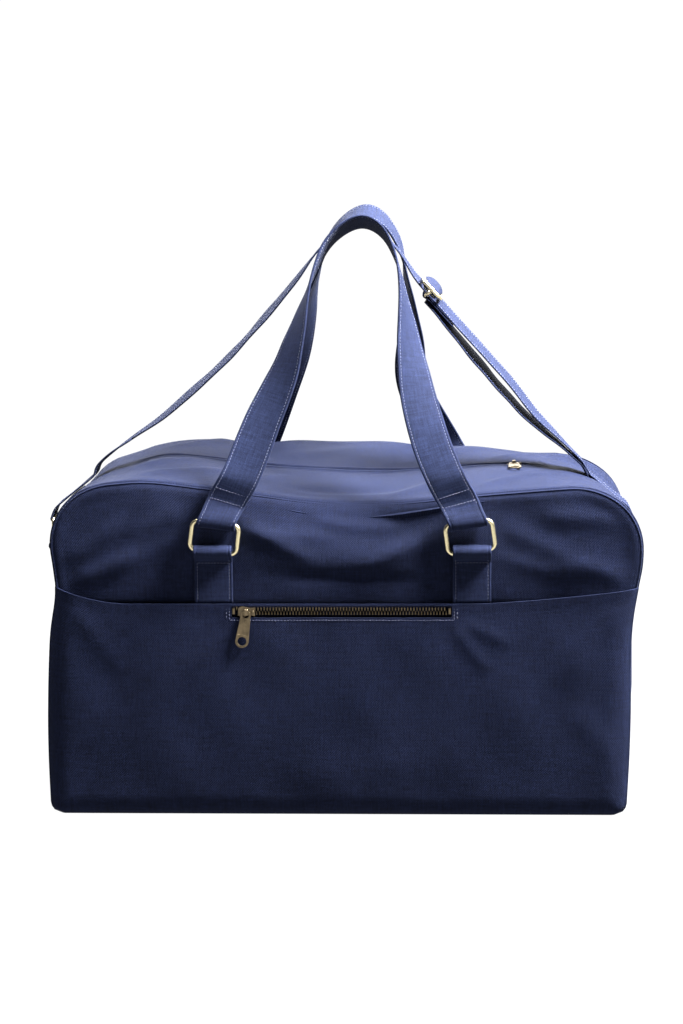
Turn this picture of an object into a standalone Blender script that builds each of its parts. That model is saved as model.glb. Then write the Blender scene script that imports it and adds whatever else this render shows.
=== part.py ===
"""Canvas weekender bag with two ringed handles, a zipped front pocket and a shoulder strap.

Metres, +Z up, the front faces -Y. The origin is the middle of the base, on the floor.
Every cut and sewn panel, strap, ring and zip piece is an object of its own.
"""

import math

import bmesh
import bpy
from mathutils import Matrix, Vector

# Body of the bag
HALF_WIDTH = 0.288
HEIGHT = 0.328
HALF_DEPTH = 0.130
PANEL = 0.002
TOP_CORNER = 0.064
BASE_CORNER = 0.012
GAP = 0.0003
CORNER_STEPS = 8

# Stiffener board that lies loose on the base
BOARD_HALF_X = 0.268
BOARD_HALF_Y = 0.121
BOARD_THICK = 0.003

# Mouth: two flaps meet over the zip, and a fixed end piece closes each end
MOUTH_HALF_LENGTH = 0.150
LIP_HALF_GAP = 0.0070
END_SLOT_X = 0.203

# Zips, measured from the middle of the chain
TOOTH_NEAR = 0.0009
TOOTH_FAR = 0.0033
TOOTH_DEPTH = 0.0022
TOP_TAPE_FAR = 0.0160
POCKET_TAPE_FAR = 0.0105
POCKET_TAPE_SET_BACK = 0.0007
TAPE_THICK = 0.0007
TOP_CHAIN_Z = 0.3249
STOP_LENGTH = 0.0024

# Front pocket
POCKET_FACE_Y = -0.1350
POCKET_THICK = 0.0015
POCKET_TOP_Z = 0.2150
WINDOW_X = (-0.1025, 0.1130)
WINDOW_Z = (0.2017, 0.2130)
POCKET_CHAIN_Y = -0.1335
POCKET_CHAIN_Z = 0.2073
POCKET_CHAIN_X = (-0.0992, 0.1098)

# Zip slider and its pull
SLIDER_HALF_LENGTH = 0.0082
SLIDER_HALF_WIDTH = 0.0055
SLIDER_PLATE = 0.0012
SLIDER_CLEAR = 0.0004
WEDGE_HALF = 0.0005
CROWN_INNER_HALF = 0.0019
CROWN_BAR = 0.0013
CROWN_TUNNEL = 0.0032
CROWN_HALF_WIDTH = 0.0016
CROWN_CHAMFER = 0.0008
PULL_THICK = 0.0014
PULL_LENGTH = 0.0360
PULL_TOP_HALF = 0.0050
PULL_LOW_HALF = 0.0066
PULL_EYE_BAR = 0.0020
PULL_EYE_HALF = 0.0032
PULL_EYE_HEIGHT = 0.0042
PULL_WAIST = (-0.0066, -0.0120)
PULL_HOLE_R = 0.0046
TOP_SLIDER_X = 0.178
POCKET_SLIDER_X = -0.0880

# Tabs and brass rings
STRAP_WIDTH = 0.038
TAB_THICK = 0.0018
TAB_LOOP_R = 0.0061
TAB_LOW_Z = 0.2155
RING_X = (-0.120, 0.133)
RING_Z = 0.267
RING_Y = HALF_DEPTH + GAP + TAB_THICK / 2 + TAB_LOOP_R
RING_TILT = math.radians(7.5)
RING_HALF_WIDTH = 0.023
RING_HEIGHT = 0.029
RING_CORNER = 0.0055
RING_WIRE = 0.0020

# Handles
HANDLE_THICK = 0.0024
HANDLE_LOOP_R = 0.0050
HANDLE_FOLD_TOP = 0.332
HANDLE_LEAN = math.radians(20.0)
HANDLE_TWIST_Z = (0.335, 0.555)
HANDLE_SETTLE = 0.022
SHEAR_Z = (0.011, 0.021)
BACK_HANDLE_SHIFT_X = 0.006
BACK_HANDLE_RISE = 0.010
HANDLE_ROUTE = (
    (-0.104, 0.3200),
    (-0.090, 0.3450),
    (-0.071, 0.3930),
    (-0.052, 0.4360),
    (-0.040, 0.4750),
    (-0.030, 0.5120),
    (-0.015, 0.5520),
    (0.004, 0.5750),
    (0.026, 0.5830),
    (0.046, 0.5720),
    (0.060, 0.5450),
    (0.067, 0.5100),
    (0.072, 0.4700),
    (0.080, 0.4200),
    (0.093, 0.3730),
    (0.108, 0.3370),
    (0.120, 0.3150),
)

# Shoulder strap
SIDE_TAB_LOW_Z = 0.190
SIDE_RING_Z = 0.252
SIDE_RING_X = HALF_WIDTH + GAP + TAB_THICK / 2 + TAB_LOOP_R
STRAP_THICK = 0.0018
STRAP_LOOP_R = 0.0036
STRAP_PLY_PITCH = 0.0030
STRAP_END_Z = 0.327
STRAP_START_Z = 0.338
STRAP_CORNER_ROUTE = ((0.2962, 0.2925), (0.2880, 0.3025), (0.2735, 0.3148), (0.2585, 0.3270))
STRAP_LEFT_ROUTE = (
    (-0.2471, 0.3380),
    (-0.2133, 0.3635),
    (-0.1780, 0.3880),
    (-0.1257, 0.4340),
    (-0.0926, 0.4670),
    (-0.0494, 0.5178),
    (-0.0208, 0.5530),
    (0.0000, 0.5710),
    (0.0200, 0.5780),
    (0.0400, 0.5720),
    (0.0603, 0.5530),
)
RUN_TOP = (0.0780, 0.5264)
RUN_SLOPE = math.radians(-48.1)
RETURN_ROUTE = ((0.062, 0.0098), (0.090, 0.0112), (0.125, 0.0118), (0.155, 0.0108), (0.190, 0.0080), (0.225, 0.0048))

# Adjuster on the strap's right run, measured down the run from RUN_TOP
ADJUSTER_S = 0.0202
ADJUSTER_HALF_LENGTH = 0.0125
ADJUSTER_HALF_WIDTH = 0.0226
ADJUSTER_WIRE = 0.0017
ADJUSTER_OUT = 0.0031
ADJUSTER_IN = 0.0046
SEWN_THICK = 0.0014
SEWN_LOOP_R = 0.0028
SEWN_LENGTH = 0.042

NAVY = (0.020, 0.024, 0.058, 1.0)
NAVY_TAPE = (0.012, 0.014, 0.034, 1.0)
BOARD_GREY = (0.20, 0.19, 0.17, 1.0)
PALE_BRASS = (0.75, 0.66, 0.40, 1.0)
ANTIQUE_BRASS = (0.16, 0.12, 0.07, 1.0)


# ---------------------------------------------------------------- helpers


def clear_scene():
    for obj in list(bpy.data.objects):
        bpy.data.objects.remove(obj, do_unlink=True)


def material(name, colour, roughness, metallic=0.0):
    made = bpy.data.materials.new(name)
    made.use_nodes = True
    shader = made.node_tree.nodes["Principled BSDF"]
    shader.inputs["Base Color"].default_value = colour
    shader.inputs["Roughness"].default_value = roughness
    shader.inputs["Metallic"].default_value = metallic
    return made


def canvas(name):
    return material(name + "_canvas", NAVY, 0.85)


def brass(name, colour=PALE_BRASS, roughness=0.3):
    return material(name + "_brass", colour, roughness, 1.0)


def finish(name, bm, made, origin=None):
    """Turns the mesh outward, puts its origin on a joint if it has one, and makes the object."""
    bmesh.ops.recalc_face_normals(bm, faces=bm.faces[:])
    mesh = bpy.data.meshes.new(name)
    if origin is not None:
        bmesh.ops.translate(bm, verts=bm.verts[:], vec=-Vector(origin))
    bm.to_mesh(mesh)
    bm.free()
    obj = bpy.data.objects.new(name, mesh)
    if origin is not None:
        obj.location = origin
    bpy.context.scene.collection.objects.link(obj)
    mesh.materials.append(made)
    return obj


def smooth(obj, angle=35.0):
    obj.data.shade_smooth()
    obj.data.set_sharp_from_angle(angle=math.radians(angle))
    return obj


def arc(centre, radius, start, end, steps):
    """Points on an arc in a plane, with angles in degrees."""
    points = []
    for step in range(steps + 1):
        angle = math.radians(start + (end - start) * step / steps)
        points.append((centre[0] + radius * math.cos(angle), centre[1] + radius * math.sin(angle)))
    return points


def catmull(points, steps):
    """A smooth curve through points of any dimension, with `steps` pieces to each span."""
    vectors = [Vector(point) for point in points]
    vectors = [2 * vectors[0] - vectors[1]] + vectors + [2 * vectors[-1] - vectors[-2]]
    curve = []
    for index in range(1, len(vectors) - 2):
        p0, p1, p2, p3 = vectors[index - 1 : index + 3]
        for step in range(steps):
            t = step / steps
            curve.append(
                0.5 * ((2 * p1) + (p2 - p0) * t + (2 * p0 - 5 * p1 + 4 * p2 - p3) * t**2
                       + (3 * p1 - p0 - 3 * p2 + p3) * t**3)
            )
    curve.append(vectors[-2])
    return curve


def smoothstep(low, high, value):
    t = min(1.0, max(0.0, (value - low) / (high - low)))
    return t * t * (3 - 2 * t)


def prism(bm, outline, place, low, high, holes=()):
    """Extrudes a flat outline, with its holes, between two levels. `place` maps (u, v, level) to space."""
    loops = [list(outline)] + [list(hole) for hole in holes]
    edges = []
    for loop in loops:
        verts = [bm.verts.new(place(u, v, low)) for u, v in loop]
        for index, vert in enumerate(verts):
            edges.append(bm.edges.new((vert, verts[(index + 1) % len(verts)])))
    faces = bmesh.ops.triangle_fill(bm, edges=edges, use_beauty=True)["geom"]
    faces = [face for face in faces if isinstance(face, bmesh.types.BMFace)]
    lifted = bmesh.ops.extrude_face_region(bm, geom=faces)["geom"]
    lift = Vector(place(0, 0, high)) - Vector(place(0, 0, low))
    bmesh.ops.translate(bm, verts=[item for item in lifted if isinstance(item, bmesh.types.BMVert)], vec=lift)
    bmesh.ops.recalc_face_normals(bm, faces=bm.faces[:])


def block(bm, low, high):
    """A closed box between two corners."""
    size = Vector(high) - Vector(low)
    middle = (Vector(high) + Vector(low)) / 2
    matrix = Matrix.Translation(middle) @ Matrix.Diagonal((size.x, size.y, size.z, 1.0))
    bmesh.ops.create_cube(bm, size=1.0, matrix=matrix)


def skin_rings(bm, rings, closed):
    """Joins rings of vertices into a tube, with end caps unless the path closes on itself."""
    count = len(rings)
    spans = count if closed else count - 1
    for index in range(spans):
        here = rings[index]
        there = rings[(index + 1) % count]
        for side in range(len(here)):
            other = (side + 1) % len(here)
            bm.faces.new((here[side], here[other], there[other], there[side]))
    if not closed:
        bm.faces.new(rings[0])
        bm.faces.new(rings[-1])


def ribbon(bm, centres, faces_out, level_with, width, thick):
    """Sweeps a flat strap along centres. `faces_out` gives the strap's outer normal at each point.
    `level_with` gives a bar's direction and how far the strap's width stays parallel to it, from 0 to 1."""
    rings = []
    count = len(centres)
    for index, centre in enumerate(centres):
        before = Vector(centres[max(index - 1, 0)])
        after = Vector(centres[min(index + 1, count - 1)])
        along = (after - before).normalized()
        normal = Vector(faces_out[index])
        normal = (normal - along * normal.dot(along)).normalized()
        across = along.cross(normal)
        bar, share = level_with[index]
        same_way = bar if bar.dot(across) > 0 else -bar
        across = across.lerp(same_way, share).normalized()
        ring = []
        for u, v in ((-0.5, -0.5), (0.5, -0.5), (0.5, 0.5), (-0.5, 0.5)):
            ring.append(bm.verts.new(Vector(centre) + across * (u * width) + normal * (v * thick)))
        rings.append(ring)
    skin_rings(bm, rings, closed=False)
    bmesh.ops.triangulate(bm, faces=bm.faces[:])


def flat_ribbon(bm, route, place, half_width, thick):
    """Sweeps a strap whose route is flat: `place` maps (u, v) and a distance across to space."""
    rings = []
    count = len(route)
    for index, point in enumerate(route):
        before = Vector(route[max(index - 1, 0)])
        after = Vector(route[min(index + 1, count - 1)])
        along = (after - before).normalized()
        normal = Vector((-along.y, along.x))
        ring = []
        for side, level in ((-1, -0.5), (1, -0.5), (1, 0.5), (-1, 0.5)):
            spot = Vector(point) + normal * (level * thick)
            ring.append(bm.verts.new(place(spot.x, spot.y, side * half_width)))
        rings.append(ring)
    skin_rings(bm, rings, closed=False)


def wire(bm, path, radius, sides=8, closed=True):
    """Sweeps a round wire along a path that lies in a plane."""
    count = len(path)
    flat_normal = (path[1] - path[0]).cross(path[count // 2] - path[0]).normalized()
    rings = []
    for index, point in enumerate(path):
        before = path[index - 1] if closed or index > 0 else path[0]
        after = path[(index + 1) % count] if closed or index < count - 1 else path[-1]
        along = (after - before).normalized()
        out = along.cross(flat_normal)
        ring = []
        for side in range(sides):
            angle = 2 * math.pi * side / sides
            ring.append(bm.verts.new(point + (out * math.cos(angle) + flat_normal * math.sin(angle)) * radius))
        rings.append(ring)
    skin_rings(bm, rings, closed)


# ---------------------------------------------------------------- body


def body_outline(half_width, inset=0.0):
    """The bag seen from the front: small round corners below and wide ones above."""
    half = half_width - inset
    low = inset
    high = HEIGHT - inset
    base = BASE_CORNER - inset
    top = TOP_CORNER - inset
    points = arc((half - base, low + base), base, -90, 0, 4)
    points += arc((half - top, high - top), top, 0, 90, CORNER_STEPS)
    points += arc((-half + top, high - top), top, 90, 180, CORNER_STEPS)
    points += arc((-half + base, low + base), base, 180, 270, 4)
    return points


def face_panel(name, side):
    """The front or back panel; side is -1 for the front and 1 for the back."""
    bm = bmesh.new()
    outer = side * HALF_DEPTH
    inner = side * (HALF_DEPTH - PANEL)
    prism(bm, body_outline(HALF_WIDTH), lambda u, v, level: (u, level, v), min(outer, inner), max(outer, inner))
    return finish(name, bm, canvas(name))


def bottom_panel():
    bm = bmesh.new()
    half_x = HALF_WIDTH - BASE_CORNER - GAP
    half_y = HALF_DEPTH - PANEL - GAP
    block(bm, (-half_x, -half_y, 0.0), (half_x, half_y, PANEL))
    return finish("bottom_panel", bm, canvas("bottom_panel"))


def base_board():
    bm = bmesh.new()
    low = PANEL + GAP
    block(bm, (-BOARD_HALF_X, -BOARD_HALF_Y, low), (BOARD_HALF_X, BOARD_HALF_Y, low + BOARD_THICK))
    return finish("base_board", bm, material("base_board_card", BOARD_GREY, 0.8))


def gusset(name, side):
    """The side strip: round the base corner, up the side and over the top corner."""
    middle = HALF_WIDTH - PANEL / 2
    base_r = BASE_CORNER - PANEL / 2
    top_r = TOP_CORNER - PANEL / 2
    route = arc((HALF_WIDTH - BASE_CORNER, BASE_CORNER), base_r, -90, 0, 4)
    route += [(middle, HEIGHT * 0.45)]
    route += arc((HALF_WIDTH - TOP_CORNER, HEIGHT - TOP_CORNER), top_r, 0, 90, CORNER_STEPS)
    half_y = HALF_DEPTH - PANEL - GAP
    bm = bmesh.new()
    flat_ribbon(bm, route, lambda u, v, across: (side * u, across, v), half_y, PANEL)
    return finish(name, bm, canvas(name))


def top_end(name, side):
    """The fixed end of the top, with a slot where the zip's slider parks."""
    near = MOUTH_HALF_LENGTH + GAP
    far = HALF_WIDTH - TOP_CORNER - GAP
    half_y = HALF_DEPTH - PANEL - GAP
    outline = [
        (near, -half_y),
        (far, -half_y),
        (far, half_y),
        (near, half_y),
        (near, LIP_HALF_GAP),
        (END_SLOT_X, LIP_HALF_GAP),
        (END_SLOT_X, -LIP_HALF_GAP),
        (near, -LIP_HALF_GAP),
    ]
    bm = bmesh.new()
    prism(bm, outline, lambda u, v, level: (side * u, v, level), HEIGHT - PANEL, HEIGHT)
    return finish(name, bm, canvas(name))


def mouth_flap(name, side):
    """Half of the top, hinged along its seam with the front or back panel."""
    seam_y = side * (HALF_DEPTH - PANEL - GAP)
    lip_y = side * LIP_HALF_GAP
    bm = bmesh.new()
    low = (-MOUTH_HALF_LENGTH, min(seam_y, lip_y), HEIGHT - PANEL)
    high = (MOUTH_HALF_LENGTH, max(seam_y, lip_y), HEIGHT)
    block(bm, low, high)
    return finish(name, bm, canvas(name), origin=(0.0, seam_y, HEIGHT))


# ---------------------------------------------------------------- zips


def zip_half(names, side, x_range, place, tape_far, tape_level, origin=None):
    """One tape and its row of teeth; `place` maps along, across and outward to space."""
    tape = bmesh.new()
    tape_low = place(x_range[0], side * (TOOTH_FAR + GAP), tape_level - TAPE_THICK / 2)
    tape_high = place(x_range[1], side * tape_far, tape_level + TAPE_THICK / 2)
    block(tape, tape_low, tape_high)
    finish(names[0], tape, material(names[0] + "_twill", NAVY_TAPE, 0.8), origin)
    teeth = bmesh.new()
    teeth_low = place(x_range[0], side * TOOTH_NEAR, -TOOTH_DEPTH / 2)
    teeth_high = place(x_range[1], side * TOOTH_FAR, TOOTH_DEPTH / 2)
    block(teeth, teeth_low, teeth_high)
    finish(names[1], teeth, brass(names[1], ANTIQUE_BRASS, 0.4), origin)


def slider_body(name, place, origin):
    """Two plates on a thin wedge, and the bridge on top that holds the pull."""
    top = TOOTH_DEPTH / 2 + SLIDER_CLEAR
    low = -top
    plate = SLIDER_PLATE
    half = SLIDER_HALF_WIDTH
    profile = [
        (-half, low - plate),
        (half, low - plate),
        (half, low),
        (WEDGE_HALF, low),
        (WEDGE_HALF, top),
        (half, top),
        (half, top + plate),
        (-half, top + plate),
        (-half, top),
        (-WEDGE_HALF, top),
        (-WEDGE_HALF, low),
        (-half, low),
    ]
    made = brass(name, ANTIQUE_BRASS, 0.35)
    body = bmesh.new()
    x = origin[0]
    prism(body, profile, lambda u, v, level: place(x + level, u, v), -SLIDER_HALF_LENGTH, SLIDER_HALF_LENGTH)
    obj = finish(name, body, made, origin)
    foot = top + plate * 0.5
    inner = top + plate + CROWN_TUNNEL
    outer = inner + CROWN_BAR
    reach = CROWN_INNER_HALF + CROWN_BAR
    outline = [
        (-reach, foot),
        (-CROWN_INNER_HALF, foot),
        (-CROWN_INNER_HALF, inner),
        (CROWN_INNER_HALF, inner),
        (CROWN_INNER_HALF, foot),
        (reach, foot),
        (reach, outer - CROWN_CHAMFER),
        (reach - CROWN_CHAMFER, outer),
        (-reach + CROWN_CHAMFER, outer),
        (-reach, outer - CROWN_CHAMFER),
    ]
    crown_mesh = bmesh.new()
    prism(
        crown_mesh,
        outline,
        lambda u, v, level: place(x + level, u, v),
        -CROWN_HALF_WIDTH,
        CROWN_HALF_WIDTH,
    )
    crown = finish(name + "_crown_tool", crown_mesh, made, origin)
    crown.hide_render = True
    crown.display_type = "WIRE"
    join = obj.modifiers.new("crown", "BOOLEAN")
    join.operation = "UNION"
    join.object = crown
    return obj


def pull_outline():
    """The pull from its eye down: a narrow shoulder that widens to a round foot."""
    near_foot = PULL_LOW_HALF - 0.0010
    right = [
        (PULL_TOP_HALF - 0.0016, PULL_EYE_BAR / 2),
        (PULL_TOP_HALF, -PULL_EYE_BAR / 2),
        (PULL_TOP_HALF, PULL_WAIST[0]),
        (near_foot, PULL_WAIST[1]),
    ]
    left = [(-x, y) for x, y in reversed(right)]
    centre = -(PULL_LENGTH - PULL_LOW_HALF)
    return right + arc((0.0, centre), PULL_LOW_HALF, 0, -180, 10) + left


def zip_pull(name, place, origin, level):
    """The tab that hangs from the slider's bridge, with an eye above and a round hole below."""
    eye_top = -PULL_EYE_BAR / 2
    eye_low = eye_top - PULL_EYE_HEIGHT
    eye = [(-PULL_EYE_HALF, eye_top), (PULL_EYE_HALF, eye_top), (PULL_EYE_HALF, eye_low), (-PULL_EYE_HALF, eye_low)]
    hole = arc((0.0, -(PULL_LENGTH - PULL_LOW_HALF)), PULL_HOLE_R, 0, 330, 11)
    bm = bmesh.new()
    x = origin[0]
    prism(
        bm,
        pull_outline(),
        lambda u, v, height: place(x + u, v, height),
        level - PULL_THICK / 2,
        level + PULL_THICK / 2,
        holes=(eye, hole),
    )
    return finish(name, bm, brass(name, ANTIQUE_BRASS, 0.35), origin)


def zip_stop(name, x_range, place):
    bm = bmesh.new()
    block(bm, place(x_range[0], -TOOTH_FAR, -TOOTH_DEPTH / 2), place(x_range[1], TOOTH_FAR, TOOTH_DEPTH / 2))
    return finish(name, bm, brass(name, ANTIQUE_BRASS, 0.4))


def pull_level():
    return TOOTH_DEPTH / 2 + SLIDER_CLEAR + SLIDER_PLATE + CROWN_TUNNEL / 2


def top_zip():
    """The chain of the mouth runs along X, and its outward side is up."""

    def place(along, across, outward):
        return (along, across, TOP_CHAIN_Z + outward)

    def pull_place(along, down, outward):
        return (along, down, TOP_CHAIN_Z + outward)

    seam_y = HALF_DEPTH - PANEL - GAP
    length = (-MOUTH_HALF_LENGTH, MOUTH_HALF_LENGTH)
    for side, word in ((-1, "front"), (1, "back")):
        names = ("top_zip_tape_" + word, "top_zip_teeth_" + word)
        zip_half(names, side, length, place, TOP_TAPE_FAR, 0.0, origin=(0.0, side * seam_y, HEIGHT))
    slider_body("top_zip_slider", place, (TOP_SLIDER_X, 0.0, TOP_CHAIN_Z))
    level = pull_level()
    zip_pull("top_zip_pull", pull_place, (TOP_SLIDER_X, 0.0, TOP_CHAIN_Z + level), level)
    stop_far = END_SLOT_X - 0.0005
    zip_stop("top_zip_stop_right", (stop_far - STOP_LENGTH, stop_far), place)
    zip_stop("top_zip_stop_left", (-stop_far, -stop_far + STOP_LENGTH), place)


def pocket_panel():
    """The outer pocket: it covers the lower front, and its zip window lies just under its top edge."""
    half = HALF_WIDTH
    points = arc((half - BASE_CORNER, BASE_CORNER), BASE_CORNER, -90, 0, 4)
    points += [(half, POCKET_TOP_Z), (-half, POCKET_TOP_Z)]
    points += arc((-half + BASE_CORNER, BASE_CORNER), BASE_CORNER, 180, 270, 4)
    window = [
        (WINDOW_X[0], WINDOW_Z[0]),
        (WINDOW_X[1], WINDOW_Z[0]),
        (WINDOW_X[1], WINDOW_Z[1]),
        (WINDOW_X[0], WINDOW_Z[1]),
    ]
    bm = bmesh.new()
    prism(
        bm,
        points,
        lambda u, v, level: (u, level, v),
        POCKET_FACE_Y,
        POCKET_FACE_Y + POCKET_THICK,
        holes=(window,),
    )
    return finish("front_pocket_panel", bm, canvas("front_pocket_panel"))


def pocket_zip():
    """The pocket's chain runs along X, and its outward side is the front."""

    def place(along, across, outward):
        return (along, POCKET_CHAIN_Y - outward, POCKET_CHAIN_Z + across)

    for side, word in ((1, "upper"), (-1, "lower")):
        names = ("pocket_zip_tape_" + word, "pocket_zip_teeth_" + word)
        zip_half(names, side, POCKET_CHAIN_X, place, POCKET_TAPE_FAR, -POCKET_TAPE_SET_BACK)
    slider_body("pocket_zip_slider", place, (POCKET_SLIDER_X, POCKET_CHAIN_Y, POCKET_CHAIN_Z))
    level = pull_level()
    zip_pull("pocket_zip_pull", place, (POCKET_SLIDER_X, POCKET_CHAIN_Y - level, POCKET_CHAIN_Z), level)
    zip_stop("pocket_zip_stop_left", (POCKET_CHAIN_X[0] - GAP - STOP_LENGTH, POCKET_CHAIN_X[0] - GAP), place)
    zip_stop("pocket_zip_stop_right", (POCKET_CHAIN_X[1] + GAP, POCKET_CHAIN_X[1] + GAP + STOP_LENGTH), place)


# ---------------------------------------------------------------- tabs, rings and handles


def tab_route(low_z, loop_z):
    """Distance out from the panel, and height: up the panel, round the ring's bar and down the front."""
    back = GAP + TAB_THICK / 2
    front = back + TAB_THICK + GAP
    centre = (back + TAB_LOOP_R, loop_z)
    route = [(back, low_z), (back, loop_z - 0.012)]
    route += arc(centre, TAB_LOOP_R, 180, -10, 12)
    route += [(front + 0.0040, loop_z - 0.0085), (front, loop_z - 0.0150), (front, low_z)]
    return route


def face_tab(name, x, side):
    """A folded tab sewn on the front or back panel, with its loop round the ring's lower bar."""
    bm = bmesh.new()
    flat_ribbon(
        bm,
        tab_route(TAB_LOW_Z, RING_Z),
        lambda out, z, across: (x + across, side * (HALF_DEPTH + out), z),
        STRAP_WIDTH / 2,
        TAB_THICK,
    )
    return finish(name, bm, canvas(name))


def side_tab(name, side):
    bm = bmesh.new()
    flat_ribbon(
        bm,
        tab_route(SIDE_TAB_LOW_Z, SIDE_RING_Z),
        lambda out, z, across: (side * (HALF_WIDTH + out), across, z),
        STRAP_WIDTH / 2,
        TAB_THICK,
    )
    return finish(name, bm, canvas(name))


def ring(name, low_bar, across, up):
    """A rounded rectangle of brass wire that stands on its lower bar."""
    half = RING_HALF_WIDTH
    r = RING_CORNER
    corners = arc((half - r, r), r, -90, 0, 4)
    corners += arc((half - r, RING_HEIGHT - r), r, 0, 90, 4)
    corners += arc((-half + r, RING_HEIGHT - r), r, 90, 180, 4)
    corners += arc((-half + r, r), r, 180, 270, 4)
    path = [Vector(low_bar) + Vector(across) * u + Vector(up) * v for u, v in corners]
    bm = bmesh.new()
    wire(bm, path, RING_WIRE)
    return smooth(finish(name, bm, brass(name), origin=low_bar), 50.0)


def ring_axes(x):
    """Each handle ring leans towards the middle of the bag."""
    lean = -math.copysign(RING_TILT, x)
    across = Vector((math.cos(lean), 0.0, -math.sin(lean)))
    up = Vector((math.sin(lean), 0.0, math.cos(lean)))
    return across, up


def handle_y(z):
    """Distance of the handle's middle from the bag's centre plane."""
    flat = HALF_DEPTH + GAP + HANDLE_THICK * 1.5 + GAP
    lean_from = HANDLE_FOLD_TOP + 0.001
    bend = 0.010
    rise = max(0.0, z - lean_from)
    eased = rise * rise / (2 * bend) if rise < bend else rise - bend / 2
    return flat - eased * math.tan(HANDLE_LEAN)


def handle_points(back):
    """The handle's centre line between its two rings, as seen from the front."""
    starts = []
    for x in RING_X:
        up = ring_axes(x)[1]
        starts.append((x + up.x * RING_HEIGHT, RING_Z + up.z * RING_HEIGHT))
    flat = [starts[0]] + list(HANDLE_ROUTE) + [starts[1]]
    curve = catmull(flat, 3)
    points = []
    for spot in curve:
        x, z = spot
        if back:
            high = smoothstep(0.36, 0.56, z)
            x += BACK_HANDLE_SHIFT_X * high
            z += BACK_HANDLE_RISE * high
        points.append((x, z))
    return points


def handle(name, side):
    """The strap: folded up behind itself at each ring, and turned on edge at the top of its arch."""
    facing = Vector((0.0, side * math.cos(HANDLE_LEAN), math.sin(HANDLE_LEAN)))
    flat_facing = Vector((0.0, side, 0.0))
    route = handle_points(side > 0)
    centres = []
    normals = []
    low_z = route[0][1]
    for x, z in route:
        out = handle_y(z)
        round_bar = 1.0 - smoothstep(low_z, low_z + HANDLE_SETTLE, z)
        out += (RING_Y + HANDLE_LOOP_R - out) * round_bar
        centres.append(Vector((x, side * out, z)))
    for index, centre in enumerate(centres):
        before = centres[max(index - 1, 0)]
        after = centres[min(index + 1, len(centres) - 1)]
        along = (after - before).normalized()
        outward = (facing.cross(along) * (-side)).normalized()
        turn = math.radians(90) * (1.0 - smoothstep(HANDLE_TWIST_Z[0], HANDLE_TWIST_Z[1], centre.z))
        face = flat_facing.lerp(facing, smoothstep(0.325, 0.36, centre.z))
        normals.append(outward * math.cos(turn) + face * math.sin(turn))
    head, head_normals = handle_loop(route[:6], RING_X[0], side)
    tail, tail_normals = handle_loop(route[::-1][:6], RING_X[1], side)
    path = head + centres[1:-1] + tail[::-1]
    level_with = []
    for spot in path:
        bar = ring_axes(RING_X[0] if spot.x < 0 else RING_X[1])[0]
        level_with.append((bar, 1.0 - smoothstep(low_z + SHEAR_Z[0], low_z + SHEAR_Z[1], spot.z)))
    bm = bmesh.new()
    ribbon(
        bm,
        path,
        head_normals + normals[1:-1] + tail_normals[::-1],
        level_with,
        STRAP_WIDTH,
        HANDLE_THICK,
    )
    return finish(name, bm, canvas(name), origin=(0.0, side * RING_Y, low_z))


def handle_loop(route, ring_x, side):
    """The folded end: down behind the strap and round the ring's upper bar."""
    across, up = ring_axes(ring_x)
    bar = Vector((ring_x, side * RING_Y, RING_Z)) + up * RING_HEIGHT
    out = Vector((0.0, side, 0.0))
    centres = []
    normals = []
    inner = HALF_DEPTH + GAP + HANDLE_THICK / 2 + 0.0002
    for x, z in reversed(route):
        if HANDLE_FOLD_TOP >= z > bar.z + 0.006:
            centres.append(Vector((x, side * inner, z)))
            normals.append(-out)
    for step in range(9):
        angle = math.radians(180 + 180 * step / 8)
        spoke = out * math.cos(angle) + up * math.sin(angle)
        centres.append(bar + spoke * HANDLE_LOOP_R)
        normals.append(spoke)
    return centres, normals


def tabs_rings_and_handles():
    for side, word in ((-1, "front"), (1, "back")):
        for x, place in zip(RING_X, ("left", "right")):
            face_tab(word + "_tab_" + place, x, side)
            across, up = ring_axes(x)
            ring(word + "_ring_" + place, (x, side * RING_Y, RING_Z), across, up)
        handle(word + "_handle", side)


# ---------------------------------------------------------------- shoulder strap


def strap_place(u, v, across):
    """The strap's route lies in the XZ plane, and its width runs along Y."""
    return (u, across, v)


def run_point(distance, inward=0.0):
    """A point on the straight right run, `distance` below its top and `inward` towards the bag."""
    down = Vector((math.cos(RUN_SLOPE), math.sin(RUN_SLOPE)))
    normal = Vector((-down.y, down.x))
    return Vector(RUN_TOP) + down * distance - normal * inward


def strap_end(name, side, return_ply):
    """The strap where it lies on the bag's corner and loops round the side ring's upper bar."""
    bar = (SIDE_RING_X, SIDE_RING_Z + RING_HEIGHT)
    outer = catmull([(bar[0] + STRAP_LOOP_R, bar[1])] + list(STRAP_CORNER_ROUTE), 3)
    inner = []
    for index, spot in enumerate(outer):
        before = outer[max(index - 1, 0)]
        after = outer[min(index + 1, len(outer) - 1)]
        along = (after - before).normalized()
        normal = Vector((-along.y, along.x))
        inner.append(spot + normal * STRAP_PLY_PITCH)
    skip = 4
    stop = len(inner) if return_ply else len(inner) - 5
    route = [tuple(spot) for spot in reversed(inner[skip:stop])]
    route += arc(bar, STRAP_LOOP_R, 175, 360, 10)
    route += [tuple(spot) for spot in outer[1:]]
    bm = bmesh.new()
    flat_ribbon(bm, route, lambda u, v, across: (side * u, across, v), STRAP_WIDTH / 2, STRAP_THICK)
    return finish(name, bm, canvas(name))


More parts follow.
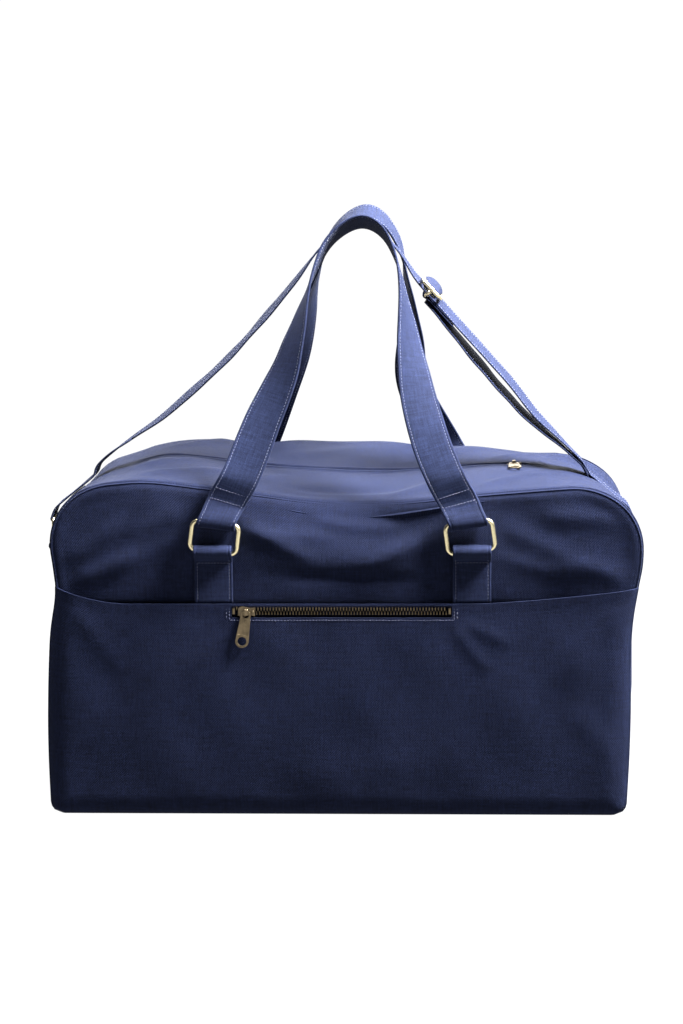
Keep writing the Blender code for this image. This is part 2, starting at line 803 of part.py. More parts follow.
def shoulder_strap():
    """The long part: up from the left, over the handles and down the straight right run."""
    run_end = (STRAP_START_Z - RUN_TOP[1]) / math.sin(RUN_SLOPE)
    knots = [Vector(spot) for spot in STRAP_LEFT_ROUTE] + [run_point(0.0), run_point(0.03)]
    curve = catmull(knots, 3)[:-3]
    curve += [run_point(0.03), run_point(0.10), run_point(0.17), run_point(run_end)]
    bm = bmesh.new()
    flat_ribbon(bm, [tuple(spot) for spot in curve], strap_place, STRAP_WIDTH / 2, STRAP_THICK)
    hinge = (0.0, 0.0, HEIGHT + PANEL)
    return finish("shoulder_strap", bm, canvas("shoulder_strap"), origin=hinge)


def strap_return():
    """The slack ply that comes back up from the right side ring to the adjuster."""
    run_end = (STRAP_START_Z - RUN_TOP[1]) / math.sin(RUN_SLOPE)
    knots = [run_point(s, inward) for s, inward in RETURN_ROUTE]
    knots.append(run_point(run_end, STRAP_PLY_PITCH))
    bm = bmesh.new()
    route = [tuple(spot) for spot in catmull(knots, 3)]
    flat_ribbon(bm, route, strap_place, STRAP_WIDTH / 2, STRAP_THICK)
    hinge = (0.0, 0.0, HEIGHT + PANEL)
    return finish("strap_return_ply", bm, canvas("strap_return_ply"), origin=hinge)


def adjuster():
    """A brass slide: an open frame over the strap, and a bar under it for the sewn end."""
    down = Vector((math.cos(RUN_SLOPE), 0.0, math.sin(RUN_SLOPE)))
    out = Vector((-down.z, 0.0, down.x))
    centre = Vector((RUN_TOP[0], 0.0, RUN_TOP[1])) + down * ADJUSTER_S
    half = ADJUSTER_HALF_LENGTH
    width = ADJUSTER_HALF_WIDTH
    r = 0.004
    corners = arc((half - r, -width + r), r, -90, 0, 3)
    corners += arc((half - r, width - r), r, 0, 90, 3)
    corners += arc((-half + r, width - r), r, 90, 180, 3)
    corners += arc((-half + r, -width + r), r, 180, 270, 3)
    across = Vector((0.0, 1.0, 0.0))
    path = [centre + down * u + across * v + out * ADJUSTER_OUT for u, v in corners]
    made = brass("strap_adjuster")
    frame_mesh = bmesh.new()
    wire(frame_mesh, path, ADJUSTER_WIRE)
    obj = finish("strap_adjuster", frame_mesh, made, origin=centre)
    drop = r * 0.8
    profile = [(-width, ADJUSTER_OUT), (-width, -ADJUSTER_IN + drop)]
    profile += [(-width + drop * 0.3, -ADJUSTER_IN + drop * 0.3), (-width + drop, -ADJUSTER_IN)]
    profile += [(width - drop, -ADJUSTER_IN), (width - drop * 0.3, -ADJUSTER_IN + drop * 0.3)]
    profile += [(width, -ADJUSTER_IN + drop), (width, ADJUSTER_OUT)]
    bar_path = [centre + across * v + out * w for v, w in profile]
    bar_mesh = bmesh.new()
    wire(bar_mesh, bar_path, ADJUSTER_WIRE * 0.9, closed=False)
    bar = finish("strap_adjuster_bar_tool", bar_mesh, made, origin=centre)
    bar.hide_render = True
    bar.display_type = "WIRE"
    join = obj.modifiers.new("bar", "BOOLEAN")
    join.operation = "UNION"
    join.object = bar
    return smooth(obj, 50.0)


def sewn_end():
    """The strap's end, folded round the adjuster's bar and sewn to itself."""
    centre = run_point(ADJUSTER_S, ADJUSTER_IN)
    down = Vector((math.cos(RUN_SLOPE), math.sin(RUN_SLOPE)))
    normal = Vector((-down.y, down.x))
    pitch = (SEWN_THICK + GAP) / 2

    def spot(distance, outward):
        point = centre + down * distance + normal * outward
        return (point.x, point.y)

    route = [spot(SEWN_LENGTH * 0.75, pitch), spot(0.0075, pitch)]
    for step in range(11):
        angle = math.radians(58 + (302 - 58) * step / 10)
        route.append(spot(SEWN_LOOP_R * math.cos(angle), SEWN_LOOP_R * math.sin(angle)))
    route += [spot(0.0075, -pitch), spot(SEWN_LENGTH, -pitch)]
    bm = bmesh.new()
    flat_ribbon(bm, route, strap_place, STRAP_WIDTH / 2, SEWN_THICK)
    origin = Vector((centre.x, 0.0, centre.y))
    return finish("strap_sewn_end", bm, canvas("strap_sewn_end"), origin=origin)


def side_ring(name, side):
    ring(name, (side * SIDE_RING_X, 0.0, SIDE_RING_Z), Vector((0.0, 1.0, 0.0)), Vector((0.0, 0.0, 1.0)))


def strap_parts():
    for side, word in ((-1, "left"), (1, "right")):
        side_tab("side_tab_" + word, side)
        side_ring("side_ring_" + word, side)
        strap_end("strap_end_" + word, side, return_ply=side > 0)
    shoulder_strap()
    strap_return()
    adjuster()
    sewn_end()


def main():
    clear_scene()
    face_panel("front_panel", -1)
    face_panel("back_panel", 1)
    bottom_panel()
    base_board()
    gusset("left_gusset", -1)
    gusset("right_gusset", 1)
    top_end("top_end_left", -1)
    top_end("top_end_right", 1)
    mouth_flap("top_flap_front", -1)
    mouth_flap("top_flap_back", 1)
    top_zip()
    pocket_panel()
    pocket_zip()
    tabs_rings_and_handles()
    strap_parts()


main()
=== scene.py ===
"""Looks of the canvas weekender bag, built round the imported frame. Metres, +Z up, the front faces -Y."""

import math

import bmesh
import bpy
import numpy as np
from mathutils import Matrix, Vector


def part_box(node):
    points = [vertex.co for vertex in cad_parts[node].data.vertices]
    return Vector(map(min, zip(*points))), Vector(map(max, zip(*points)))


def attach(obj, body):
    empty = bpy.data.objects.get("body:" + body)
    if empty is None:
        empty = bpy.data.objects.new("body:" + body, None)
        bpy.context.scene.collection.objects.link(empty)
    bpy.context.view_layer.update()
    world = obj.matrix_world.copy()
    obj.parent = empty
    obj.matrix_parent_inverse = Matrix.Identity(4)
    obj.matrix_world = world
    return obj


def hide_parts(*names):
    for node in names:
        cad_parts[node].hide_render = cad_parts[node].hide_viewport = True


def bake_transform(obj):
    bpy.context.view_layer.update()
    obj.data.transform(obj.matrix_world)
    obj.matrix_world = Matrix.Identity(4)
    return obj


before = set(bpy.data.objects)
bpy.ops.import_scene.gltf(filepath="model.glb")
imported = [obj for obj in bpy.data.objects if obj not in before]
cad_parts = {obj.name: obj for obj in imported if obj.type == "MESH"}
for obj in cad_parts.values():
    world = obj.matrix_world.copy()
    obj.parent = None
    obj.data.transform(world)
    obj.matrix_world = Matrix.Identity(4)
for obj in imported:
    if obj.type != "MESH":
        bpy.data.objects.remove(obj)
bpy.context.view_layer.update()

# Sizes read from the frame
PANEL_LOW, PANEL_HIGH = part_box("front_panel")
HALF_WIDTH = PANEL_HIGH.x
HEIGHT = PANEL_HIGH.z
HALF_DEPTH = -PANEL_LOW.y
TOP_CORNER = HALF_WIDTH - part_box("right_gusset")[0].x
BASE_CORNER = 0.012
POCKET_LOW, POCKET_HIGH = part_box("front_pocket_panel")
POCKET_TOP = POCKET_HIGH.z
POCKET_Y = POCKET_LOW.y
CHAIN_LOW, CHAIN_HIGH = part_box("pocket_zip_teeth_upper")
STOP_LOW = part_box("pocket_zip_stop_left")[0]
STOP_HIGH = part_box("pocket_zip_stop_right")[1]
WINDOW_X = (STOP_LOW.x - 0.0008, STOP_HIGH.x + 0.0008)
WINDOW_Z = (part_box("pocket_zip_teeth_lower")[0].z - 0.0027, CHAIN_HIGH.z + 0.0026)

# Cloth and seams
CLOTH = 0.0014
POCKET_CLOTH = 0.0016
TAPE_CLOTH_THICK = 0.0006
FACE_OUT = 0.0004
SEAM_IN = 0.0006
SEAM_DIP = 0.0022
SEAM_SPAN = 0.0060
WELT_AT, WELT_WIDE, WELT_HIGH = 0.0085, 0.0035, 0.0006
HEM = 0.0034
EDGE_ANGLE = math.radians(52.0)
LIP_GAP = 0.0019
LIP_GAP_SLIDER = 0.0062

# How the cloth sags and stands, as (x, height gained): at the front seam, over the zip and at the back seam
FRONT_LIFT = (
    (-0.288, 0.0), (-0.250, 0.003), (-0.190, 0.008), (-0.135, 0.002), (-0.080, -0.006), (-0.030, -0.014),
    (0.010, -0.0175), (0.050, -0.0165), (0.084, -0.0134), (0.144, -0.006), (0.223, 0.001), (0.265, 0.004),
    (0.288, 0.004),
)
ZIP_LIFT = (
    (-0.288, -0.002), (-0.240, 0.001), (-0.210, 0.008), (-0.178, 0.015), (-0.140, 0.013), (-0.078, 0.005),
    (-0.020, 0.001), (0.040, -0.001), (0.083, 0.000), (0.167, 0.005), (0.2337, 0.000), (0.288, -0.004),
)
BACK_LIFT = (
    (-0.288, -0.004), (-0.236, 0.002), (-0.200, 0.008), (-0.140, 0.012), (-0.070, 0.014), (0.000, 0.013),
    (0.073, 0.012), (0.170, 0.004), (0.238, -0.006), (0.288, -0.008),
)
# How far each side is pushed out, by height
LEFT_PUSH = ((0.0, 0.000), (0.06, 0.001), (0.114, 0.000), (0.180, -0.004), (0.222, -0.010), (0.245, -0.009),
             (0.283, -0.004), (0.328, 0.002))
RIGHT_PUSH = ((0.0, -0.002), (0.05, 0.000), (0.106, 0.001), (0.180, 0.001), (0.225, 0.007), (0.256, 0.012),
              (0.302, 0.011), (0.328, 0.005))
# Full and hollow places: the handles press the top down, the tabs hold the sides in, and the front rolls back
BACK_PUFF = 0.75
HANDLE_PRESS_X, HANDLE_PRESS_WIDE = 0.095, 0.030
TAB_HOLD_WIDE = 0.050
SIDE_BELLY = 0.007
FACE_BELLY = 0.0030
POCKET_BELLY_TOP = 0.215
MIDDLE_X, MIDDLE_WIDE = 0.015, 0.085
BAND_Z, BAND_WIDE, BAND_BULGE = 0.262, 0.030, 0.0040
LEAN_FROM, LEAN_BACK = 0.258, 0.021


# ---------------------------------------------------------------- shape helpers


def unit(v):
    v = np.asarray(v, float)
    return v / np.maximum(np.linalg.norm(v, axis=-1, keepdims=True), 1e-12)


def smoothstep(low, high, value):
    """Rises smoothly from 0 at `low` to 1 at `high`, or falls where `high` is the lower one."""
    t = np.clip((np.asarray(value, float) - low) / (high - low), 0.0, 1.0)
    return t * t * (3 - 2 * t)


def catmull(points, steps):
    """A smooth curve through points of any dimension, with `steps` pieces to each span."""
    p = np.array(points, float)
    p = np.vstack([2 * p[0] - p[1], p, 2 * p[-1] - p[-2]])
    out = []
    for i in range(1, len(p) - 2):
        for step in range(steps):
            t = step / steps
            out.append(0.5 * (2 * p[i] + (p[i + 1] - p[i - 1]) * t
                              + (2 * p[i - 1] - 5 * p[i] + 4 * p[i + 1] - p[i + 2]) * t**2
                              + (3 * p[i] - p[i - 1] - 3 * p[i + 1] + p[i + 2]) * t**3))
    out.append(p[-2])
    return np.array(out)


def along_curve(points, value):
    """Reads a smooth curve of (place, amount) pairs."""
    curve = catmull(points, 8)
    return np.interp(value, curve[:, 0], curve[:, 1])


def half_width(z):
    """Half the width of the bag's face at a height, with its round corners."""
    z = np.asarray(z, float)
    low = np.clip(BASE_CORNER - z, 0, BASE_CORNER)
    high = np.clip(z - (HEIGHT - TOP_CORNER), 0, TOP_CORNER)
    narrow_low = BASE_CORNER - np.sqrt(BASE_CORNER**2 - low**2)
    narrow_high = TOP_CORNER - np.sqrt(np.maximum(TOP_CORNER**2 - high**2, 0))
    return HALF_WIDTH - narrow_low - narrow_high


def ripple(points, size, seed, octaves=7):
    """Smooth noise from a few waves in seeded directions, about -1 to 1."""
    rng = np.random.default_rng(seed)
    total = np.zeros(points.shape[:-1])
    for _ in range(octaves):
        direction = rng.normal(size=3)
        direction /= np.linalg.norm(direction)
        wave = 2 * math.pi / (size * rng.uniform(0.7, 1.5))
        total += np.sin(points @ direction * wave + rng.uniform(0, 6.28))
    return total / math.sqrt(octaves)


def fold_field(a, b, folds):
    """Height of soft folds over two flat coordinates. A fold is (a0, b0, a1, b1, height, half width)."""
    total = np.zeros(a.shape)
    for a0, b0, a1, b1, high, wide in folds:
        da, db = a1 - a0, b1 - b0
        length = math.hypot(da, db)
        run = ((a - a0) * da + (b - b0) * db) / length
        off = ((a - a0) * -db + (b - b0) * da) / length
        off = off + 0.12 * wide * np.sin(run * 55.0)
        ends = smoothstep(-0.25 * length, 0.25 * length, run) * smoothstep(1.25 * length, 0.75 * length, run)
        total += high * ends * np.exp(-((off / wide) ** 2))
    return total


def bump(value, middle, wide):
    """A smooth hill, one at its middle."""
    return np.exp(-(((value - middle) / wide) ** 2))


def belly_curve(z, top):
    """Fullness of a face that is sewn down at the base and at `top`."""
    return np.sin(math.pi * np.clip(z / top, 0, 1)) ** 0.8


def warp(p):
    """Turns the bag's plain shape into the soft one: sagging top, pinched sides and full faces."""
    q = p.copy()
    x, y, z = p[..., 0], p[..., 1], p[..., 2]
    t = np.clip((y + HALF_DEPTH) / (2 * HALF_DEPTH), 0, 1)
    side = np.sign(x)

    pressed = 1 - 0.3 * bump(np.abs(x), HANDLE_PRESS_X, HANDLE_PRESS_WIDE)
    puff = (1 + BACK_PUFF * smoothstep(0.5, 0.8, t)) * (1 - smoothstep(0.86, 1.0, t)) * pressed
    lift = ((1 - t) * (1 - 2 * t) * along_curve(FRONT_LIFT, x) + 4 * t * (1 - t) * along_curve(ZIP_LIFT, x)
            + t * (2 * t - 1) * puff * along_curve(BACK_LIFT, x))
    q[..., 2] = z + lift * smoothstep(POCKET_TOP, HEIGHT, z)

    push = np.where(x < 0, along_curve(LEFT_PUSH, z), along_curve(RIGHT_PUSH, z))
    held = bump(y, 0.0, TAB_HOLD_WIDE) * smoothstep(0.15, 0.19, z) * smoothstep(HEIGHT, HEIGHT - 0.03, z)
    push = push * (1 - 0.85 * held)
    reach = smoothstep(0.10, HALF_WIDTH, np.abs(x))
    belly = np.sin(math.pi * t) * smoothstep(0.0, 0.10, z) * smoothstep(HEIGHT, HEIGHT - 0.06, z)
    flat_tab = 1.0 - 0.8 * smoothstep(0.17, 0.22, z)
    q[..., 0] = x + side * reach * (push + SIDE_BELLY * belly * flat_tab)

    across = np.cos(np.clip(x / HALF_WIDTH, -1, 1) * math.pi / 2)
    front = 1 - smoothstep(0.0, 0.25, t)
    back = smoothstep(0.75, 1.0, t)
    middle = bump(x, MIDDLE_X, MIDDLE_WIDE)
    band = BAND_BULGE * bump(z, BAND_Z, BAND_WIDE) * middle
    lean = np.clip((z - LEAN_FROM) / (HEIGHT - LEAN_FROM), 0, 1.05) ** 2 * (0.30 * across + 0.70 * middle)
    q[..., 1] = y + front * (LEAN_BACK * lean - FACE_BELLY * across * belly_curve(z, POCKET_BELLY_TOP) - band)
    q[..., 1] += back * FACE_BELLY * across * belly_curve(z, HEIGHT)
    return q


# ---------------------------------------------------------------- mesh helpers


def build(name, verts, faces, uvs=None, smooth=True):
    """Makes a mesh object. `uvs` gives a pair for each vertex, in metres of cloth."""
    mesh = bpy.data.meshes.new(name)
    mesh.from_pydata([tuple(v) for v in verts], [], [tuple(int(i) for i in f) for f in faces])
    if uvs is not None:
        layer = mesh.uv_layers.new(name="Cloth")
        index = np.zeros(len(mesh.loops), int)
        mesh.loops.foreach_get("vertex_index", index)
        layer.data.foreach_set("uv", np.asarray(uvs, float)[index].ravel())
    mesh.validate()
    if smooth:
        mesh.shade_smooth()
    obj = bpy.data.objects.new(name, mesh)
    bpy.context.scene.collection.objects.link(obj)
    return obj


def face_out(obj):
    """Turns every face of a closed mesh outwards."""
    bm = bmesh.new()
    bm.from_mesh(obj.data)
    bmesh.ops.recalc_face_normals(bm, faces=bm.faces[:])
    bm.to_mesh(obj.data)
    bm.free()
    return obj


def grid_faces(rows, columns, keep=None, flip=False):
    """Quads of a grid of points; `keep` says which of them are cloth."""
    faces = []
    for r in range(rows - 1):
        for c in range(columns - 1):
            if keep is not None and not keep[r, c]:
                continue
            a = r * columns + c
            face = (a, a + 1, a + columns + 1, a + columns)
            faces.append(face[::-1] if flip else face)
    return faces


def spread(points):
    """Length along a grid of points, for cloth coordinates."""
    step = np.linalg.norm(np.diff(points, axis=0), axis=-1)
    return np.concatenate([[0.0], np.cumsum(step)])


def surface(name, points, disp, outward, uv, keep=None, flip=False, thick=CLOTH):
    """A cloth panel: points pushed out by disp along outward, given thickness on the inner side."""
    final = points + outward * disp[..., None]
    rows, columns = final.shape[:2]
    obj = build(name, final.reshape(-1, 3), grid_faces(rows, columns, keep, flip), uv.reshape(-1, 2))
    bm = bmesh.new()
    bm.from_mesh(obj.data)
    loose = [v for v in bm.verts if not v.link_faces]
    bmesh.ops.delete(bm, geom=loose, context="VERTS")
    bm.to_mesh(obj.data)
    bm.free()
    solid = obj.modifiers.new("cloth", "SOLIDIFY")
    solid.thickness = thick
    solid.offset = -1.0
    solid.use_even_offset = False
    return obj


def settle(obj):
    """Applies an object's modifiers, so that its mesh is final."""
    depsgraph = bpy.context.evaluated_depsgraph_get()
    mesh = bpy.data.meshes.new_from_object(obj.evaluated_get(depsgraph))
    obj.modifiers.clear()
    obj.data = mesh
    mesh.shade_smooth()
    mesh.set_sharp_from_angle(angle=EDGE_ANGLE)
    return obj


def dress(obj, finish, body=None, nodes=()):
    """Gives a piece its finish's material and its body, and hides the CAD nodes that it stands for."""
    made, slot_name = finish
    obj.data.materials.clear()
    obj.data.materials.append(made)
    if body:
        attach(obj, body)
    if nodes:
        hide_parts(*nodes)
    return obj


# ---------------------------------------------------------------- materials


class Nodes:
    """Short calls for building one material's node tree."""

    def __init__(self, name):
        self.material = bpy.data.materials.new(name)
        self.material.use_nodes = True
        self.tree = self.material.node_tree
        self.shader = self.tree.nodes["Principled BSDF"]

    def feed(self, node, inputs):
        """Fills a node's inputs: a socket is linked, and anything else becomes the input's own value."""
        for key, value in inputs.items():
            if isinstance(value, bpy.types.NodeSocket):
                self.tree.links.new(value, node.inputs[key])
            else:
                node.inputs[key].default_value = value
        return node

    def add(self, kind, inputs=None, **settings):
        node = self.tree.nodes.new(kind)
        for key, value in settings.items():
            setattr(node, key, value)
        return self.feed(node, inputs or {})

    def math(self, operation, a, b=0.0, c=0.0):
        return self.add("ShaderNodeMath", {0: a, 1: b, 2: c}, operation=operation).outputs[0]

    def mix(self, factor, a, b, blend="MIX"):
        node = self.add("ShaderNodeMix", data_type="RGBA", blend_type=blend)
        return self.feed(node, {0: factor, 6: a, 7: b}).outputs[2]

    def mix_value(self, factor, a, b):
        node = self.add("ShaderNodeMix", data_type="FLOAT")
        return self.feed(node, {0: factor, 2: a, 3: b}).outputs[0]

    def ramp(self, value, low, high, to_low=0.0, to_high=1.0):
        return self.add("ShaderNodeMapRange", {0: value, 1: low, 2: high, 3: to_low, 4: to_high}).outputs[0]

    def noise(self, vector, scale, detail=3.0, roughness=0.5):
        node = self.add("ShaderNodeTexNoise", {"Vector": vector, "Scale": scale, "Detail": detail,
                                               "Roughness": roughness})
        return node.outputs["Fac"]

    def stretch(self, vector, scale):
        return self.add("ShaderNodeMapping", {"Vector": vector, "Scale": scale}).outputs[0]

    def wave(self, value):
        """Height of round threads laid side by side, one for each unit of the value."""
        return self.math("ABSOLUTE", self.math("SINE", self.math("MULTIPLY", value, math.pi)))

    def bump(self, height, strength, distance):
        node = self.add("ShaderNodeBump", {"Height": height, "Strength": strength, "Distance": distance})
        self.set(Normal=node.outputs[0])

    def set(self, **values):
        self.feed(self.shader, {key.replace("_", " "): value for key, value in values.items()})


def canvas(name, colour, pitch=0.0012, contrast=0.40, relief=0.00050, sheen=0.035):
    """Plain-weave cotton canvas: crossing threads with slubs, faint cloudy tone, flecks and a little sheen.
    """
    n = Nodes(name)
    uv = n.add("ShaderNodeUVMap", uv_map="Cloth").outputs[0]
    place = n.add("ShaderNodeTexCoord").outputs["Object"]
    threads = n.stretch(uv, (1 / pitch, 1 / pitch, 1.0))
    wander = n.noise(n.stretch(uv, (180.0, 180.0, 1.0)), 1.0, 2.0)
    split = n.add("ShaderNodeSeparateXYZ", {0: threads})
    across = n.math("ADD", split.outputs[0], n.math("MULTIPLY", wander, 1.3))
    down = n.math("ADD", split.outputs[1], n.math("MULTIPLY", wander, 1.1))
    joined = n.add("ShaderNodeCombineXYZ", {0: across, 1: down, 2: 0.5}).outputs[0]
    over = n.add("ShaderNodeTexChecker", {"Vector": joined, "Scale": 1.0}).outputs["Fac"]
    height = n.mix_value(over, n.wave(across), n.math("MULTIPLY", n.wave(down), 0.85))
    slub_warp = n.noise(n.stretch(uv, (560.0, 55.0, 1.0)), 1.0, 2.0)
    slub_weft = n.noise(n.stretch(uv, (50.0, 520.0, 1.0)), 1.0, 2.0)
    slub = n.mix_value(over, slub_warp, slub_weft)
    cloud = n.noise(place, 14.0, 4.0, 0.6)
    fleck = n.noise(place, 420.0, 2.0, 0.7)
    tone = n.math("MULTIPLY", n.ramp(height, 0.0, 1.0, 1.0 - contrast, 1.0 + contrast * 0.45),
                  n.ramp(slub, 0.30, 0.70, 0.58, 1.46))
    tone = n.math("MULTIPLY", tone, n.ramp(cloud, 0.3, 0.7, 0.92, 1.08))
    tone = n.math("MULTIPLY", tone, n.ramp(fleck, 0.3, 0.7, 0.88, 1.14))
    base = n.add("ShaderNodeCombineXYZ", {0: tone, 1: tone, 2: tone}).outputs[0]
    shade = n.mix(1.0, (*colour, 1.0), base, "MULTIPLY")
    n.bump(n.math("ADD", height, n.math("MULTIPLY", slub, 0.5)), 0.60, relief)
    n.set(Base_Color=shade, Roughness=n.ramp(slub, 0.3, 0.7, 0.66, 0.80))
    n.set(Sheen_Weight=sheen, Sheen_Roughness=0.30, Sheen_Tint=(0.72, 0.78, 1.0, 1.0))
    n.set(Specular_IOR_Level=0.035)
    return n.material


def brass(name, colour, dark, roughness, grime):
    """Cast brass: fine scratches and darker tarnish in patches."""
    n = Nodes(name)
    place = n.add("ShaderNodeTexCoord").outputs["Object"]
    patch = n.noise(place, 160.0, 4.0, 0.65)
    scratch = n.noise(n.stretch(place, (900.0, 900.0, 5200.0)), 1.0, 2.0)
    factor = n.math("MULTIPLY", n.ramp(patch, 0.42, 0.72, 0.0, 1.0), grime)
    n.set(Base_Color=n.mix(factor, (*colour, 1.0), (*dark, 1.0)), Metallic=1.0)
    n.set(Roughness=n.math("ADD", n.ramp(scratch, 0.3, 0.7, roughness - 0.05, roughness + 0.07),
                           n.math("MULTIPLY", factor, 0.2)))
    n.bump(scratch, 0.12, 0.00008)
    return n.material


def thread_material():
    """Twisted polyester thread, a little lighter than the canvas."""
    n = Nodes("thread")
    place = n.add("ShaderNodeTexCoord").outputs["Object"]
    twist = n.noise(place, 2600.0, 2.0)
    n.set(Base_Color=n.mix(twist, (0.016, 0.020, 0.055, 1.0), (0.050, 0.060, 0.130, 1.0)), Roughness=0.5)
    n.set(Sheen_Weight=0.3, Sheen_Roughness=0.4)
    return n.material


def board_material():
    """Grey pulp board with short fibres."""
    n = Nodes("board")
    place = n.add("ShaderNodeTexCoord").outputs["Object"]
    fibre = n.noise(n.stretch(place, (60.0, 700.0, 60.0)), 1.0, 4.0)
    n.set(Base_Color=n.mix(fibre, (0.12, 0.115, 0.10, 1.0), (0.27, 0.26, 0.23, 1.0)), Roughness=0.85)
    n.bump(fibre, 0.3, 0.0002)
    return n.material


# Each finish is a material and the record's slot that it belongs to
CANVAS = (canvas("navy_canvas", (0.0060, 0.0083, 0.0225)), "canvas")
STRAP_CANVAS = (canvas("navy_strap_canvas", (0.0085, 0.0115, 0.0290), pitch=0.0011, contrast=0.30,
                       relief=0.00022), "webbing")
TAPE_CLOTH = (canvas("navy_zip_tape", (0.0035, 0.0042, 0.011), pitch=0.0006, contrast=0.5,
                     sheen=0.04), "zip_tape")
PALE_BRASS = (brass("pale_brass", (0.80, 0.70, 0.43), (0.42, 0.33, 0.16), 0.24, 0.25), "pale_brass")
ANTIQUE = (brass("antique_brass", (0.20, 0.155, 0.095), (0.045, 0.036, 0.028), 0.34, 0.75), "antique_brass")
THREAD = (thread_material(), "webbing")
BOARD = (board_material(), "board")


# ---------------------------------------------------------------- bag panels


def face_rows(low, high, extra=()):
    """Heights of the rows of a face: close together where the outline curves."""
    rows = [BASE_CORNER * (1 - math.cos(a)) for a in np.linspace(0, math.pi / 2, 5)]
    rows += list(np.linspace(BASE_CORNER, HEIGHT - TOP_CORNER, 52))[1:]
    rows += [HEIGHT - TOP_CORNER + TOP_CORNER * math.sin(a) for a in np.linspace(0, math.pi / 2, 17)][1:]
    rows = [z for z in rows if low - 1e-6 <= z <= high + 1e-6]
    for value in (low, high) + tuple(extra):
        rows = [z for z in rows if abs(z - value) > 0.0016] + [value]
    return np.array(sorted(rows))


def face_grid(rows, shares):
    """Plain face of the bag as a grid: columns are shares of the half width at each row."""
    z = np.repeat(rows[:, None], len(shares), axis=1)
    x = half_width(z) * shares[None, :]
    return x, z


def seam_distance(x, z):
    """How far a point on a face lies from the seam round it."""
    side = half_width(z) - np.abs(x)
    corner_x = np.abs(x) - (HALF_WIDTH - TOP_CORNER)
    corner_z = z - (HEIGHT - TOP_CORNER)
    in_corner = (corner_x > 0) & (corner_z > 0)
    corner = TOP_CORNER - np.hypot(np.maximum(corner_x, 0), np.maximum(corner_z, 0))
    return np.where(in_corner, corner, np.minimum(np.minimum(side, HEIGHT - z), z + 0.002))


def seam_roll(distance):
    """The face rolls inwards to its seam, with a soft welt just before it."""
    dip = 1 - smoothstep(0.0, SEAM_SPAN, distance)
    return -SEAM_DIP * dip**1.5 + WELT_HIGH * bump(distance, WELT_AT, WELT_WIDE)


# Soft folds of each panel, as fold_field takes them: (x, z) on the faces
FRONT_FOLDS = (
    (-0.095, 0.300, -0.030, 0.268, 0.0022, 0.0090),
    (-0.085, 0.288, -0.010, 0.292, 0.0016, 0.0070),
    (0.110, 0.300, 0.050, 0.275, 0.0020, 0.0090),
    (0.105, 0.284, 0.030, 0.262, 0.0014, 0.0080),
    (-0.150, 0.300, -0.205, 0.275, 0.0018, 0.0100),
    (-0.150, 0.278, -0.230, 0.246, 0.0014, 0.0090),
    (-0.262, 0.238, -0.200, 0.262, 0.0024, 0.0090),
    (-0.270, 0.258, -0.215, 0.290, 0.0018, 0.0080),
    (0.165, 0.290, 0.215, 0.262, 0.0018, 0.0100),
    (0.160, 0.262, 0.230, 0.240, 0.0014, 0.0090),
    (0.270, 0.238, 0.215, 0.256, 0.0020, 0.0090),
    (0.262, 0.292, 0.200, 0.300, 0.0016, 0.0080),
    (-0.060, 0.245, 0.070, 0.240, -0.0016, 0.0080),
    (-0.020, 0.312, 0.060, 0.300, 0.0016, 0.0060),
)
POCKET_FOLDS = (
    (-0.270, 0.215, -0.215, 0.150, 0.0014, 0.0110),
    (-0.280, 0.060, -0.235, 0.120, 0.0012, 0.0140),
    (0.275, 0.210, 0.225, 0.140, 0.0014, 0.0110),
    (0.280, 0.050, 0.230, 0.110, 0.0012, 0.0140),
    (0.116, 0.192, 0.148, 0.150, 0.0016, 0.0060),
    (0.126, 0.196, 0.168, 0.176, 0.0012, 0.0050),
    (-0.100, 0.192, -0.140, 0.150, 0.0012, 0.0070),
    (-0.060, 0.040, 0.090, 0.055, 0.0010, 0.0200),
)
BACK_FOLDS = (
    (-0.085, 0.300, -0.040, 0.240, 0.0022, 0.0090),
    (0.092, 0.300, 0.030, 0.230, 0.0020, 0.0090),
    (-0.260, 0.240, -0.180, 0.180, 0.0020, 0.0120),
    (0.262, 0.250, 0.170, 0.190, 0.0020, 0.0120),
    (-0.200, 0.060, -0.060, 0.110, 0.0014, 0.0150),
    (0.060, 0.080, 0.210, 0.050, 0.0014, 0.0150),
    (-0.020, 0.160, 0.100, 0.130, 0.0014, 0.0160),
)


def face_shares():
    """Columns of a face: close together beside the seams."""
    near = np.array([0.0, 0.0012, 0.0026, 0.0042, 0.0062, 0.0085, 0.0115, 0.0155]) / HALF_WIDTH
    low = -1 + near
    return np.concatenate([low, np.linspace(low[-1], -low[-1], 112)[1:-1], -low[::-1]])


def directions(points, x=0.0, y=0.0, z=0.0):
    """One outward direction for a whole grid of points."""
    return np.zeros(points.shape) + np.array((x, y, z))


def face_panel(name, side, node, folds, rows, hidden_below=None):
    """The front or back of the bag; below `hidden_below` it lies back, behind the pocket."""
    x, z = face_grid(rows, face_shares())
    points = np.stack([x, np.full(x.shape, side * (HALF_DEPTH + FACE_OUT)), z], axis=-1)
    distance = seam_distance(x, z)
    room = smoothstep(0.0, 0.022, distance)
    wrinkles = 1.5 * fold_field(x, z, folds) + 0.0010 * ripple(points, 0.085, 5 + side)
    disp = seam_roll(distance) + room * wrinkles
    if hidden_below is not None:
        disp = disp - 0.0012 - 0.0040 * smoothstep(hidden_below + 0.002, hidden_below - 0.012, z) * room
    uv = np.stack([x, z], axis=-1)
    obj = surface(name, warp(points), disp, directions(points, y=side), uv, flip=side > 0)
    return dress(settle(obj), CANVAS, "bag", (node,))


# Climbs of the pocket's edge: (side, from this far out, over this width, height, sharpness)
POCKET_CLIMBS = ((-1, 0.212, 0.076, 0.0160, 1.8), (1, 0.135, 0.153, 0.0140, 1.4))


